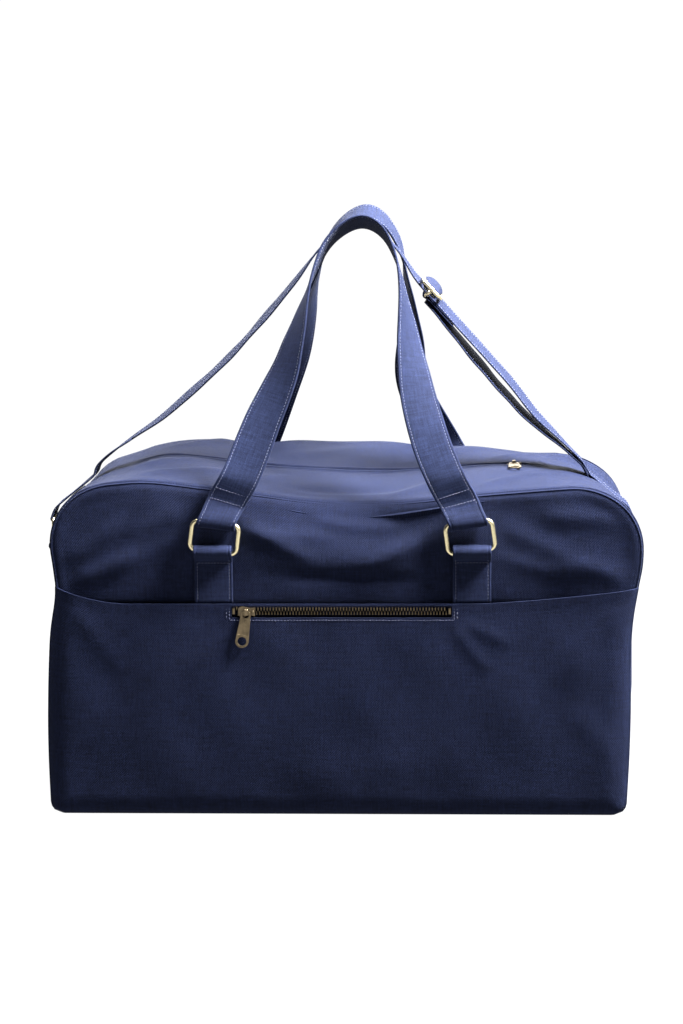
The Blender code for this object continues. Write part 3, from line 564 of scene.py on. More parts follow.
def pocket_rise(x):
    """The pocket's top edge climbs where it runs into the side seams."""
    total = 0.0
    for side, start, span, high, power in POCKET_CLIMBS:
        total = total + high * np.clip((side * x - start) / span, 0, 1) ** power
    return total


def pocket_surface(x, z):
    """Points of the pocket's outer face before the warp, and their push outwards."""
    top_share = smoothstep(0.12, POCKET_TOP, z)
    lifted = z + pocket_rise(x) * top_share
    distance = np.minimum(half_width(z) - np.abs(x), z + 0.002)
    points = np.stack([x, np.full(x.shape, -HALF_DEPTH - FACE_OUT), lifted], axis=-1)
    stand = (-POCKET_Y - HALF_DEPTH) * smoothstep(0.0, 0.020, distance)
    below_edge = POCKET_TOP - z
    hem = 0.0007 * smoothstep(0.0045, 0.0025, below_edge) - 0.0005 * bump(below_edge, HEM, 0.0007)
    room = smoothstep(0.0, 0.030, distance) * smoothstep(0.0, 0.030, below_edge)
    wrinkles = room * (fold_field(x, z, POCKET_FOLDS) + 0.0007 * ripple(points, 0.09, 31))
    return points, seam_roll(distance) + stand + hem + wrinkles


def quad_middles(grid):
    return 0.25 * (grid[:-1, :-1] + grid[1:, :-1] + grid[:-1, 1:] + grid[1:, 1:])


def pocket_panel():
    """The pocket's canvas, with a window for its zip."""
    shares = face_shares()
    for edge in WINDOW_X:
        shares[np.argmin(np.abs(shares - edge / HALF_WIDTH))] = edge / HALF_WIDTH
    rows = face_rows(0.0, POCKET_TOP, extra=(POCKET_TOP - HEM,))
    low, high = WINDOW_Z
    rows = [z for z in rows if not low - 0.002 < z < high + 0.0008]
    rows = np.array(sorted(rows + [low, high, low - 0.0012, 0.5 * (low + high)]))
    x, z = face_grid(rows, shares)
    points, disp = pocket_surface(x, z)
    middle_x, middle_z = quad_middles(x), quad_middles(z)
    inside = (middle_x > WINDOW_X[0]) & (middle_x < WINDOW_X[1]) & (middle_z > low) & (middle_z < high)
    uv = np.stack([x, z], axis=-1)
    outward = directions(points, y=-1)
    obj = surface("pocket_canvas", warp(points), disp, outward, uv, keep=~inside, thick=POCKET_CLOTH)
    return dress(settle(obj), CANVAS, "bag", ("front_pocket_panel",))


def gusset_route(side):
    """Plain outline of a gusset seen from the front, as (x, z) with the outward direction there."""
    spots = []
    for a in np.linspace(-math.pi / 2, 0, 6):
        spots.append((HALF_WIDTH - BASE_CORNER * (1 - math.cos(a)), BASE_CORNER * (1 + math.sin(a)),
                      math.cos(a), math.sin(a)))
    for z in np.linspace(BASE_CORNER, HEIGHT - TOP_CORNER, 42)[1:-1]:
        spots.append((HALF_WIDTH, z, 1.0, 0.0))
    for a in np.linspace(0, math.pi / 2, 18):
        spots.append((HALF_WIDTH - TOP_CORNER * (1 - math.cos(a)), HEIGHT - TOP_CORNER * (1 - math.sin(a)),
                      math.cos(a), math.sin(a)))
    return np.array([(side * x, z, side * nx, nz) for x, z, nx, nz in spots])


def bottom_route():
    """Plain outline of the bottom between the round base corners."""
    reach = HALF_WIDTH - BASE_CORNER
    return np.array([(x, 0.0, 0.0, -1.0) for x in np.linspace(-reach, reach, 80)])


# Folds of the gussets: (distance up the strip, y)
GUSSET_FOLDS = (
    (0.060, -0.080, 0.120, 0.040, 0.0022, 0.0130),
    (0.150, 0.080, 0.215, -0.010, 0.0022, 0.0120),
    (0.210, -0.090, 0.250, -0.030, 0.0020, 0.0100),
    (0.200, 0.090, 0.265, 0.040, 0.0020, 0.0100),
    (0.120, -0.100, 0.180, -0.060, 0.0018, 0.0110),
)


def strip_panel(name, route, node, folds=(), seed=1, flip=False):
    """A strip between the front and back seams: gusset or bottom."""
    half = HALF_DEPTH - SEAM_IN
    edge = half - 0.006
    across = np.concatenate([np.linspace(-half, -edge, 4), np.linspace(-edge, edge, 41)[1:-1],
                             np.linspace(edge, half, 4)])
    length = spread(route[:, :2])
    y, along = np.meshgrid(across, length)
    x = np.meshgrid(across, route[:, 0])[1]
    z = np.meshgrid(across, route[:, 1])[1]
    points = np.stack([x, y, z], axis=-1)
    outward = np.zeros(points.shape)
    outward[..., 0] = route[:, 2][:, None]
    outward[..., 2] = route[:, 3][:, None]
    distance = half - np.abs(y)
    ends = np.minimum(along, length[-1] - along)
    room = smoothstep(0.0, 0.020, distance) * smoothstep(0.0, 0.020, ends)
    disp = seam_roll(distance) + room * (fold_field(along, y, folds) + 0.0006 * ripple(points, 0.08, seed))
    if node == "bottom_panel":
        disp = np.minimum(disp, 0.0) * 0.3
    uv = np.stack([along, y], axis=-1)
    obj = surface(name, warp(points), disp, outward, uv, flip=flip)
    return dress(settle(obj), CANVAS, "bag", (node,))


# Folds of the top's halves: (x, y)
TOP_FOLDS_FRONT = (
    (-0.190, -0.100, -0.120, -0.060, 0.0030, 0.0090),
    (-0.200, -0.060, -0.150, -0.020, 0.0026, 0.0080),
    (-0.110, -0.110, -0.060, -0.050, 0.0026, 0.0100),
    (0.060, -0.105, 0.110, -0.050, 0.0024, 0.0100),
    (0.150, -0.100, 0.200, -0.050, 0.0028, 0.0090),
    (-0.040, -0.085, 0.060, -0.080, -0.0022, 0.0120),
)
TOP_FOLDS_BACK = (
    (-0.180, 0.050, -0.120, 0.095, 0.0026, 0.0100),
    (-0.060, 0.040, 0.020, 0.070, 0.0020, 0.0120),
    (0.080, 0.050, 0.150, 0.085, 0.0024, 0.0100),
    (0.160, 0.030, 0.205, 0.080, 0.0024, 0.0090),
)
MOUTH_SPLIT = 0.105
TOP_REACH = HALF_WIDTH - TOP_CORNER
ZIP_REACH = 0.200
SEAM_Y = HALF_DEPTH - SEAM_IN
LIP_BUMPS = (-0.166, -0.070, 0.165)
FLANGE_DROP, FLANGE_IN, FLANGE_STEP = 0.003, 0.0012, 0.0006
FLANGE_TURNS = (9.0, 18.0, 26.0)
FLANGE_TAIL = (0.006, 0.013)


def top_parts(reach):
    """The top's two ends and its middle, which opens: (part, from x, to x)."""
    split = MOUTH_SPLIT
    return (("left", -reach, -split), ("middle", -split, split), ("right", split, reach))


def bend_end(obj, part):
    """Bakes the world transform of an end of the top, or of its zip, into its mesh."""
    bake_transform(obj)


def box_middle(node):
    """Middle of a CAD node along x."""
    low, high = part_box(node)
    return 0.5 * (low.x + high.x)


def lip_gap(x):
    """Half the gap between the lips: narrow over the teeth, wider round the parked slider."""
    wide = np.exp(-((np.abs(x - box_middle("top_zip_slider")) / 0.013) ** 4))
    wave = 0.0006 * np.sin(x * 61.0) + 0.0006 * np.sin(x * 137.0 + 1.0)
    bumps = sum(0.0010 * bump(x, at, 0.015) for at in LIP_BUMPS)
    gap = LIP_GAP + wave + bumps + (LIP_GAP_SLIDER - LIP_GAP) * wide
    return gap * end_fade(x) + 0.00005


def end_fade(x):
    """One over the zip, falling to zero where the top runs on into the gussets."""
    return smoothstep(TOP_REACH - 0.010, TOP_REACH - 0.022, np.abs(x))


def top_points(x, share, side):
    """Warped points of half the top: share runs from 0 at the seam to 1 at the lip."""
    gap = lip_gap(x)
    y = side * (SEAM_Y + (gap - SEAM_Y) * share)
    points = np.stack([x, y, np.full(x.shape, HEIGHT)], axis=-1)
    folds = TOP_FOLDS_FRONT if side < 0 else TOP_FOLDS_BACK
    distance = SEAM_Y - np.abs(y)
    to_lip = np.abs(y) - gap
    ends = TOP_REACH - np.abs(x)
    room = smoothstep(0.0, 0.022, distance) * smoothstep(0.0, 0.020, ends) * smoothstep(0.0, 0.012, to_lip)
    lip = 0.0016 * smoothstep(0.010, 0.004, to_lip) - 0.0007 * bump(to_lip, 0.0062, 0.0008)
    lip -= 0.0022 * smoothstep(0.0015, 0.0, to_lip)
    crown = 0.0015 * np.sin(math.pi * np.clip(share, 0, 1))
    disp = seam_roll(distance) + (crown + lip) * end_fade(x)
    disp += room * (fold_field(x, y, folds) + 0.0007 * ripple(points, 0.07, 17 + side))
    return warp(points), disp


def inner_flange(seam, side):
    """Cloth inside the seam: it curves round the fold's axis and hangs down, so an open top shows no gap."""
    edge = seam.copy()
    edge[:, 2] -= FLANGE_DROP
    edge[:, 1] -= side * FLANGE_IN
    inward = side * (side * HALF_DEPTH - edge[:, 1])
    level = edge[:, 2] - HEIGHT
    rows = [edge]
    for step, angle in enumerate(np.radians(FLANGE_TURNS), start=1):
        row = edge.copy()
        row[:, 1] = side * (HALF_DEPTH - inward * np.cos(angle) - level * np.sin(angle) - FLANGE_STEP * step)
        row[:, 2] = HEIGHT - inward * np.sin(angle) + level * np.cos(angle)
        rows.append(row)
    for drop in FLANGE_TAIL:
        row = rows[len(FLANGE_TURNS)].copy()
        row[:, 2] -= drop
        row[:, 1] -= side * 0.2 * drop
        rows.append(row)
    return np.array(rows[::-1])


def top_half(side, word):
    """Half of the top, in a middle that opens and two ends."""
    shares = np.concatenate([np.linspace(0, 0.05, 4), np.linspace(0.05, 0.90, 22)[1:-1],
                             np.linspace(0.90, 1.0, 15)])
    for part, low, high in top_parts(TOP_REACH):
        columns = np.linspace(low, high, max(8, int((high - low) / 0.0042)))
        x, share = np.meshgrid(columns, shares)
        points, disp = top_points(x, share, side)
        flange = inner_flange(points[0], side)
        points = np.concatenate([flange, points], axis=0)
        disp = np.concatenate([np.repeat(disp[:1], len(flange), axis=0), disp], axis=0)
        uv = np.stack([np.repeat(columns[None, :], len(points), axis=0), points[..., 1]], axis=-1)
        name = "top_" + word + "_canvas_" + part
        obj = surface(name, points, disp, directions(points, z=1), uv, flip=side > 0)
        if part == "middle":
            dress(settle(obj), CANVAS, word + "_flap", ("top_flap_" + word,))
        else:
            dress(settle(obj), CANVAS, None, ("top_end_" + part,))
            bend_end(obj, part)


def bag_shell():
    """All the canvas panels, and the board on the base."""
    rows = face_rows(0.0, HEIGHT)
    face_panel("front_canvas", -1, "front_panel", FRONT_FOLDS, rows, hidden_below=POCKET_TOP)
    face_panel("back_canvas", 1, "back_panel", BACK_FOLDS, rows)
    pocket_panel()
    for side, word in ((-1, "left"), (1, "right")):
        strip_panel(word + "_gusset_canvas", gusset_route(side), word + "_gusset", GUSSET_FOLDS,
                    seed=40 + side, flip=side < 0)
    strip_panel("bottom_canvas", bottom_route(), "bottom_panel", seed=3)
    top_half(-1, "front")
    top_half(1, "back")
    dress(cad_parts["base_board"], BOARD)


bag_shell()


# ---------------------------------------------------------------- sewing thread


STITCH_PITCH = 0.0031
STITCH_LENGTH = 0.0022
STITCH_R = 0.00034


def stitch_mesh(name, spots, body=None):
    """Short rounded stitches. Each spot is (middle, along, outward)."""
    verts = []
    faces = []
    for middle, along, outward in spots:
        side = np.cross(along, outward)
        base = len(verts)
        verts.append(middle - along * STITCH_LENGTH / 2 - outward * STITCH_R)
        for run in (-0.36, 0.0, 0.36):
            swell = 1.0 if run == 0.0 else 0.8
            for turn in range(5):
                angle = 2 * math.pi * turn / 5
                rim = (side * math.cos(angle) + outward * math.sin(angle)) * STITCH_R * swell
                verts.append(middle + along * STITCH_LENGTH * run + rim)
        verts.append(middle + along * STITCH_LENGTH / 2 - outward * STITCH_R)
        for turn in range(5):
            other = (turn + 1) % 5
            faces.append((base, base + 1 + other, base + 1 + turn))
            for ring in (0, 1):
                a = base + 1 + ring * 5
                faces.append((a + turn, a + other, a + 5 + other, a + 5 + turn))
            faces.append((base + 11 + turn, base + 11 + other, base + 16))
    obj = build(name, verts, faces)
    return dress(obj, THREAD, body)


def spaced(points):
    """Places along a line of points, one for each stitch: distances, spots and directions."""
    points = np.asarray(points, float)
    length = spread(points)
    count = max(1, int(length[-1] / STITCH_PITCH))
    stops = (np.arange(count) + 0.5) * length[-1] / count

    def at(distances):
        return np.stack([np.interp(distances, length, column) for column in points.T], axis=-1)

    return stops, at(stops), unit(at(stops + 0.0004) - at(stops - 0.0004))


# ---------------------------------------------------------------- straps


STRAP_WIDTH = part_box("shoulder_strap")[1].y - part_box("shoulder_strap")[0].y
STITCH_INSET = 0.0030
STRAP_EDGE_R = 0.0011
GROOVE_DEPTH = 0.00036


class Strap:
    """A folded and stitched strap swept along a line, with rolled edges and sunk rows of stitching.

    `bars` are directions that the strap's width follows near a ring, as far as `shares` says.
    """

    def __init__(self, centres, normals, width, thick, bars=None, shares=None, wave=0.0003, seed=1):
        centres = np.asarray(centres, float)
        along = unit(np.gradient(centres, axis=0))
        normals = np.asarray(normals, float)
        normals = unit(normals - along * np.sum(normals * along, axis=1, keepdims=True))
        across = unit(np.cross(along, normals))
        if bars is not None:
            same = np.sign(np.sum(bars * across, axis=1, keepdims=True))
            across = unit(across * (1 - shares[:, None]) + bars * same * shares[:, None])
        self.centres, self.along, self.normals, self.across = centres, along, normals, across
        self.width, self.thick = width, thick
        self.length = spread(centres)
        self.wave, self.seed = wave, seed

    def shift(self, centres, across, normals, u):
        """How far the cloth wanders off its line: slight waves along its edges."""
        spots = centres + across * u
        edge = 0.4 + 0.6 * abs(u) / (self.width / 2)
        return normals * (self.wave * edge * ripple(spots, 0.045, self.seed))[:, None]

    def level(self, u):
        """Half thickness of the strap at a distance from its middle."""
        inside = self.width / 2 - abs(u)
        round_edge = math.sqrt(max(0.0, 1 - (1 - min(1.0, inside / STRAP_EDGE_R)) ** 2))
        groove = GROOVE_DEPTH * float(bump(inside, STITCH_INSET, 0.0006))
        return self.thick / 2 * (0.25 + 0.75 * round_edge) - groove

    def mesh(self, name, body, nodes, first=0, last=None):
        """Builds the strap, or its part between two of the line's points."""
        half = self.width / 2
        near = [0.0, 0.0003, 0.0009, 0.0018, 0.0024, STITCH_INSET, 0.0036, 0.0046, 0.0080, 0.0125]
        steps = [-half + d for d in near] + [0.0] + [half - d for d in reversed(near)]
        pick = slice(first, last)
        c, n, a = self.centres[pick], self.normals[pick], self.across[pick]
        length = self.length[pick]
        columns = []
        uvs = []
        for face, line in ((1, steps), (-1, steps[::-1])):
            for u in line:
                spot = c + a * u + n * (face * self.level(u)) + self.shift(c, a, n, u)
                columns.append(spot)
                cloth_u = u if face > 0 else self.width - u
                uvs.append(np.stack([np.full(len(c), cloth_u), length], axis=-1))
        grid = np.stack(columns, axis=1)
        uv = np.stack(uvs, axis=1)
        rows, cols = grid.shape[:2]
        faces = []
        for r in range(rows - 1):
            for k in range(cols):
                k2 = (k + 1) % cols
                faces.append((r * cols + k, r * cols + k2, (r + 1) * cols + k2, (r + 1) * cols + k))
        for start, turn in ((0, False), ((rows - 1) * cols, True)):
            for k in range(len(steps) - 1):
                cap = (start + k, start + k + 1, start + cols - 2 - k, start + cols - 1 - k)
                faces.append(cap if turn else cap[::-1])
        obj = face_out(build(name, grid.reshape(-1, 3), faces, uv.reshape(-1, 2)))
        return dress(obj, STRAP_CANVAS, body, nodes)

    def row_spots(self, u, face, low, high):
        """Stitches in a row along the strap between two distances."""
        c = self.centres + self.across * u + self.normals * (face * (self.level(u) + 0.0001))
        c = c + self.shift(self.centres, self.across, self.normals, u)
        stops, spots, along = spaced(c)
        out = []
        length = spread(c)
        for stop, spot, direction in zip(stops, spots, along):
            if low <= stop <= high:
                index = min(int(np.searchsorted(length, stop)), len(c) - 1)
                out.append((spot, direction, self.normals[index] * face))
        return out

    def edge_rows(self, faces, low, high):
        """Rows of stitches beside both edges, on one face or both."""
        reach = self.width / 2 - STITCH_INSET
        out = []
        for u in (-reach, reach):
            for face in faces:
                out += self.row_spots(u, face, low, high)
        return out

    def cross_spots(self, distance):
        """A row of stitches across the strap's outer face at a distance along it."""
        index = int(np.argmin(np.abs(self.length - distance)))
        c, n, a = self.centres[index], self.normals[index], self.across[index]
        reach = self.width / 2 - STITCH_INSET
        return [(c + a * u + n * (self.level(u) + 0.00015), a, n)
                for u in np.arange(-reach + 0.0015, reach, STITCH_PITCH)]


# ---------------------------------------------------------------- tabs and rings


GAP = 0.0003
TAB_THICK = 0.0018
TAB_LOOP_R = 0.0061
RING_X = (-0.120, 0.133)
RING_LEAN = math.radians(7.5)
RING_HEIGHT = 0.029
RING_HALF_WIDTH = 0.023
RING_CORNER = 0.0065
RING_WIRE = 0.0022
RING_Z = 0.267
RING_Y = HALF_DEPTH + GAP + TAB_THICK / 2 + TAB_LOOP_R
TAB_LOW_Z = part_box("front_tab_left")[0].z
SIDE_TAB_LOW_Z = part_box("side_tab_left")[0].z
SIDE_RING_X = HALF_WIDTH + GAP + TAB_THICK / 2 + TAB_LOOP_R
SIDE_RING_Z = 0.252


def arc(centre, radius, start, end, steps):
    """Points round a centre between two angles in degrees."""
    angles = np.radians(np.linspace(start, end, steps + 1))
    return [(centre[0] + radius * math.cos(a), centre[1] + radius * math.sin(a)) for a in angles]


def tab_line(low_z, loop_z):
    """A tab's line as (distance out, height): up the panel, round the bar and down the front."""
    back = GAP + TAB_THICK / 2
    front = back + TAB_THICK + GAP
    line = [(back, z) for z in np.linspace(low_z, loop_z - 0.012, 12)]
    line += arc((back + TAB_LOOP_R, loop_z), TAB_LOOP_R, 180, -16, 18)
    bend = ((0.0050, 0.0048), (0.0022, 0.0076), (0.0, 0.0098))
    line += [tuple(p) for p in catmull([(front + out, loop_z - drop) for out, drop in bend], 4)]
    line += [(front, z) for z in np.linspace(loop_z - 0.0115, low_z, 16)]
    return np.array(line)


def tab(name, node, place, low_z, loop_z):
    """A folded tab that holds a ring; `place` maps (distance out, height) to space."""
    line = tab_line(low_z, loop_z)
    turn = unit(np.gradient(line, axis=0))
    centres = np.array([place(out, z) for out, z in line])
    normals = np.array([place(-t[1], t[0]) for t in turn]) - place(0.0, 0.0)
    strap = Strap(centres, normals, STRAP_WIDTH - 0.0006, TAB_THICK, wave=0.0001, seed=len(node))
    strap.mesh(name, "bag", (node,))
    total = strap.length[-1]
    front_run = loop_z - 0.0110 - low_z
    spots = strap.edge_rows((1,), total - front_run, total) + strap.cross_spots(total - front_run)
    stitch_mesh(name + "_stitches", spots, "bag")


def tube_faces(rows, sides, closed=False):
    """Faces of a tube made of rings of points: a closed loop, or a run with two end caps."""
    faces = []
    for row in range(rows if closed else rows - 1):
        here, there = row * sides, (row + 1) % rows * sides
        for k in range(sides):
            k2 = (k + 1) % sides
            faces.append((here + k, here + k2, there + k2, there + k))
    if not closed:
        faces.append(tuple(range(sides))[::-1])
        faces.append(tuple(range((rows - 1) * sides, rows * sides)))
    return faces


def wire_mesh(name, path, radius, sides=12, closed=True):
    """A round wire along a path of points."""
    path = np.asarray(path, float)
    count = len(path)
    flat = np.cross(path[1] - path[0], path[count // 2] - path[0])
    flat = unit(flat)
    verts = []
    for index in range(count):
        before = path[index - 1] if closed or index else path[0]
        after = path[(index + 1) % count] if closed or index < count - 1 else path[-1]
        along = unit(after - before)
        out = np.cross(along, flat)
        for side in range(sides):
            angle = 2 * math.pi * side / sides
            verts.append(path[index] + (out * math.cos(angle) + flat * math.sin(angle)) * radius)
    return face_out(build(name, verts, tube_faces(count, sides, closed)))


def round_rectangle(low, high, r, steps):
    """Outline of a rectangle with round corners, between two opposite corner points."""
    left, right = low[0] + r, high[0] - r
    bottom, top = low[1] + r, high[1] - r
    corners = ((right, bottom), (right, top), (left, top), (left, bottom))
    return [spot for k, corner in enumerate(corners) for spot in arc(corner, r, 90 * k - 90, 90 * k, steps)]


def ring(name, low_bar, across, up, body):
    """A rectangular brass ring, from its low bar upwards."""
    outline = round_rectangle((-RING_HALF_WIDTH, 0.0), (RING_HALF_WIDTH, RING_HEIGHT), RING_CORNER, 9)
    path = [np.array(low_bar) + np.array(across) * u + np.array(up) * v for u, v in outline]
    dress(wire_mesh(name + "_brass", path, RING_WIRE, sides=16), PALE_BRASS, body, (name,))


def ring_axes(x):
    """Directions along a leaning ring's bars and up its sides."""
    lean = -math.copysign(RING_LEAN, x)
    return np.array((math.cos(lean), 0.0, -math.sin(lean))), np.array((math.sin(lean), 0.0, math.cos(lean)))


# ---------------------------------------------------------------- handles


# The route is the front handle's middle line in (x, z); the back handle bows a little away from it
HANDLE_THICK = 0.0024
HANDLE_LOOP_R = 0.0050
HANDLE_FOLD_TOP = 0.332
HANDLE_LEAN = math.radians(20.0)
HANDLE_TWIST_Z = (0.345, 0.565)
HANDLE_SETTLE = 0.022
BACK_HANDLE_SHIFT_X = 0.002
BACK_HANDLE_RISE = 0.007
BACK_HANDLE_BOW = 0.010
FOLD_CROSSES = (0.021, 0.032)
FOLD_CLEAR = 0.0002
FOLD_ABOVE_BAR = 0.006
HANDLE_BEND = 0.010
HANDLE_ROUTE = (
    (-0.104, 0.3200), (-0.090, 0.3450), (-0.071, 0.3930), (-0.052, 0.4360), (-0.040, 0.4750),
    (-0.030, 0.5120), (-0.015, 0.5520), (0.004, 0.5750), (0.026, 0.5830), (0.046, 0.5720), (0.060, 0.5450),
    (0.067, 0.5100), (0.072, 0.4700), (0.080, 0.4200), (0.093, 0.3730), (0.108, 0.3370), (0.120, 0.3150),
)


def handle_y(z):
    """Distance of a handle's middle line from the bag's middle plane: flat on the face, then leaning in."""
    flat = HALF_DEPTH + GAP + HANDLE_THICK * 1.5 + GAP
    rise = max(0.0, z - HANDLE_FOLD_TOP - 0.001)
    eased = rise * rise / (2 * HANDLE_BEND) if rise < HANDLE_BEND else rise - HANDLE_BEND / 2
    return flat - eased * math.tan(HANDLE_LEAN)


def handle_route(side):
    """Middle line of a handle in (x, z), from ring to ring."""
    tops = [np.array((x, RING_Z)) + ring_axes(x)[1][[0, 2]] * RING_HEIGHT for x in RING_X]
    route = catmull([tops[0]] + list(HANDLE_ROUTE) + [tops[1]], 12)
    if side > 0:
        high = smoothstep(0.36, 0.56, route[:, 1])
        bow = bump(route[:, 1], 0.405, 0.045) * (route[:, 0] > 0)
        route[:, 0] += BACK_HANDLE_SHIFT_X * high - BACK_HANDLE_BOW * bow
        route[:, 1] += BACK_HANDLE_RISE * high
    return route


def folded_end(line, ring_x, side):
    """A handle's end with its outward directions: down behind the strap, then round the ring's upper bar."""
    up = ring_axes(ring_x)[1]
    flat_out = np.array((0.0, side, 0.0))
    bar = np.array((ring_x, side * RING_Y, RING_Z)) + up * RING_HEIGHT
    inner = side * (HALF_DEPTH + GAP + HANDLE_THICK / 2 + FOLD_CLEAR)
    centres = [(x, inner, z) for x, z in line[::-1] if HANDLE_FOLD_TOP >= z > bar[2] + FOLD_ABOVE_BAR]
    normals = [-flat_out] * len(centres)
    for angle in np.radians(np.linspace(180, 360, 17)):
        spoke = flat_out * math.cos(angle) + up * math.sin(angle)
        centres.append(bar + spoke * HANDLE_LOOP_R)
        normals.append(spoke)
    return np.array(centres), np.array(normals)


def handle_strap(side):
    """The handle from ring to ring with its folded ends behind, and where its visible run starts and ends."""
    route = handle_route(side)
    low_z = route[0, 1]
    lean_out = np.array((0.0, side * math.cos(HANDLE_LEAN), math.sin(HANDLE_LEAN)))
    flat_out = np.array((0.0, side, 0.0))
    out = np.array([handle_y(z) for z in route[:, 1]])
    out += (RING_Y + HANDLE_LOOP_R - out) * (1 - smoothstep(low_z, low_z + HANDLE_SETTLE, route[:, 1]))
    centres = np.stack([route[:, 0], side * out, route[:, 1]], axis=-1)
    along = unit(np.gradient(centres, axis=0))
    edge_on = unit(np.cross(lean_out, along) * -side)
    turn = math.pi / 2 * (1 - smoothstep(*HANDLE_TWIST_Z, centres[:, 2]))[:, None]
    ease = smoothstep(0.325, 0.36, centres[:, 2])[:, None]
    face_on = flat_out * (1 - ease) + lean_out * ease
    normals = edge_on * np.cos(turn) + face_on * np.sin(turn)
    head, head_n = folded_end(route[:70], RING_X[0], side)
    tail, tail_n = folded_end(route[::-1][:70], RING_X[1], side)
    path = np.concatenate([head, centres[1:-1], tail[::-1]])
    n = np.concatenate([head_n, normals[1:-1], tail_n[::-1]])
    bars = np.array([ring_axes(RING_X[0] if p[0] < 0 else RING_X[1])[0] for p in path])
    shares = 1 - 0.45 * smoothstep(low_z + 0.008, low_z + 0.020, path[:, 2])
    shares -= 0.55 * smoothstep(low_z + 0.030, low_z + 0.085, path[:, 2])
    strap = Strap(path, n, STRAP_WIDTH, HANDLE_THICK, bars, shares, wave=0.00035, seed=60 + side)
    return strap, len(head), len(path) - len(tail)


def handles():
    """Both handles with their rings and tabs."""
    for side, word in ((-1, "front"), (1, "back")):
        body = word + "_handle"
        strap, start, end = handle_strap(side)
        strap.mesh(word + "_handle_strap", body, (word + "_handle",))
        low, high = strap.length[start], strap.length[end]
        spots = strap.edge_rows((-1, 1), low + 0.002, high - 0.002)
        for distance in [low + cross for cross in FOLD_CROSSES] + [high - cross for cross in FOLD_CROSSES]:
            spots += strap.cross_spots(distance)
        stitch_mesh(word + "_handle_stitches", spots, body)
        for x, place in zip(RING_X, ("left", "right")):
            across, up = ring_axes(x)
            ring(word + "_ring_" + place, (x, side * RING_Y, RING_Z), across, up, word + "_rings")
            tab(word + "_tab_canvas_" + place, word + "_tab_" + place,
                lambda out, z, x=x, side=side: np.array((x, side * (HALF_DEPTH + out), z)), TAB_LOW_Z, RING_Z)


# ---------------------------------------------------------------- shoulder strap


# Routes are (x, z) in the bag's middle plane; the return ply's are (distance down the run, depth below it)
STRAP_THICK = 0.0018
STRAP_LOOP_R = 0.0036
STRAP_PLY_PITCH = 0.0030
STRAP_START_Z = 0.338
STRAP_CORNER_ROUTE = ((0.2943, 0.2915), (0.2850, 0.2998), (0.2703, 0.3115), (0.2548, 0.3240))
STRAP_LEFT_ROUTE = (
    (-0.2471, 0.3380), (-0.2133, 0.3635), (-0.1780, 0.3880), (-0.1257, 0.4340), (-0.0926, 0.4670),
    (-0.0494, 0.5178), (-0.0208, 0.5530), (0.0000, 0.5710), (0.0200, 0.5780), (0.0400, 0.5720),
    (0.0603, 0.5530),
)
RUN_TOP = np.array((0.0780, 0.5264))
RUN_SLOPE = math.radians(-48.1)
RETURN_ROUTE = (
    (0.0245, 0.0073), (0.042, 0.0077), (0.062, 0.0088), (0.090, 0.0106), (0.125, 0.0118), (0.155, 0.0108),
    (0.190, 0.0080), (0.225, 0.0048),
)
CUT_LEFT_X, CUT_RIGHT_X = -0.2133, 0.2240
ADJUSTER_S = 0.0202
ADJUSTER_HALF_LENGTH = 0.0125
ADJUSTER_HALF_WIDTH = 0.0226
ADJUSTER_WIRE = 0.0021
ADJUSTER_OUT = 0.0038
ADJUSTER_IN = 0.0046
ADJUSTER_CORNER = 0.0048
BAR_BEND = 0.0036
COLLAR_PROFILE = ((-0.0024, 0.0012), (-0.0018, 0.0023), (-0.0008, 0.0027), (0.0008, 0.0027), (0.0018, 0.0023),
                  (0.0024, 0.0012))
LOOP_REACH = 0.0088
LOOP_HEIGHT = 0.0036
LOOP_FOOT = 0.0042
LOOP_THICK = 0.0028
SEWN_THICK = 0.0014
SEWN_LOOP_R = 0.0028
SEWN_LENGTH = 0.042
STRAP_TILT = math.radians(8.0)
TILT_FROM, TILT_TO = (0.345, 0.400), (0.560, 0.500)
RUN_DOWN = np.array((math.cos(RUN_SLOPE), math.sin(RUN_SLOPE)))
RUN_OUT = np.array((-RUN_DOWN[1], RUN_DOWN[0]))
RUN_LENGTH = (STRAP_START_Z - RUN_TOP[1]) / RUN_DOWN[1]
RUN_START = 0.03
RUN_SAG = 0.0030
SAG_START = 0.125


def run_point(distance, inward=0.0):
    """A place on the strap's run down from its top; the run sags a little below the adjuster's travel."""
    share = float(np.clip((distance - SAG_START) / (RUN_LENGTH - SAG_START), 0, 1))
    sag = RUN_SAG * math.sin(math.pi * share) ** 2
    return RUN_TOP + RUN_DOWN * distance - RUN_OUT * (inward + sag)


def flat_strap(line, thick, tilt=None, seed=1, wave=0.0003):
    """A strap whose line lies in the bag's middle plane; `tilt` turns its outer face to the front."""
    line = np.asarray(line, float)
    turn = unit(np.gradient(line, axis=0))
    normals = np.stack([-turn[:, 1], np.zeros(len(line)), turn[:, 0]], axis=-1)
    if tilt is not None:
        normals = normals * np.cos(tilt)[:, None] + np.array((0.0, -1.0, 0.0)) * np.sin(tilt)[:, None]
    centres = np.stack([line[:, 0], np.zeros(len(line)), line[:, 1]], axis=-1)
    return Strap(centres, normals, STRAP_WIDTH, thick, wave=wave, seed=seed)


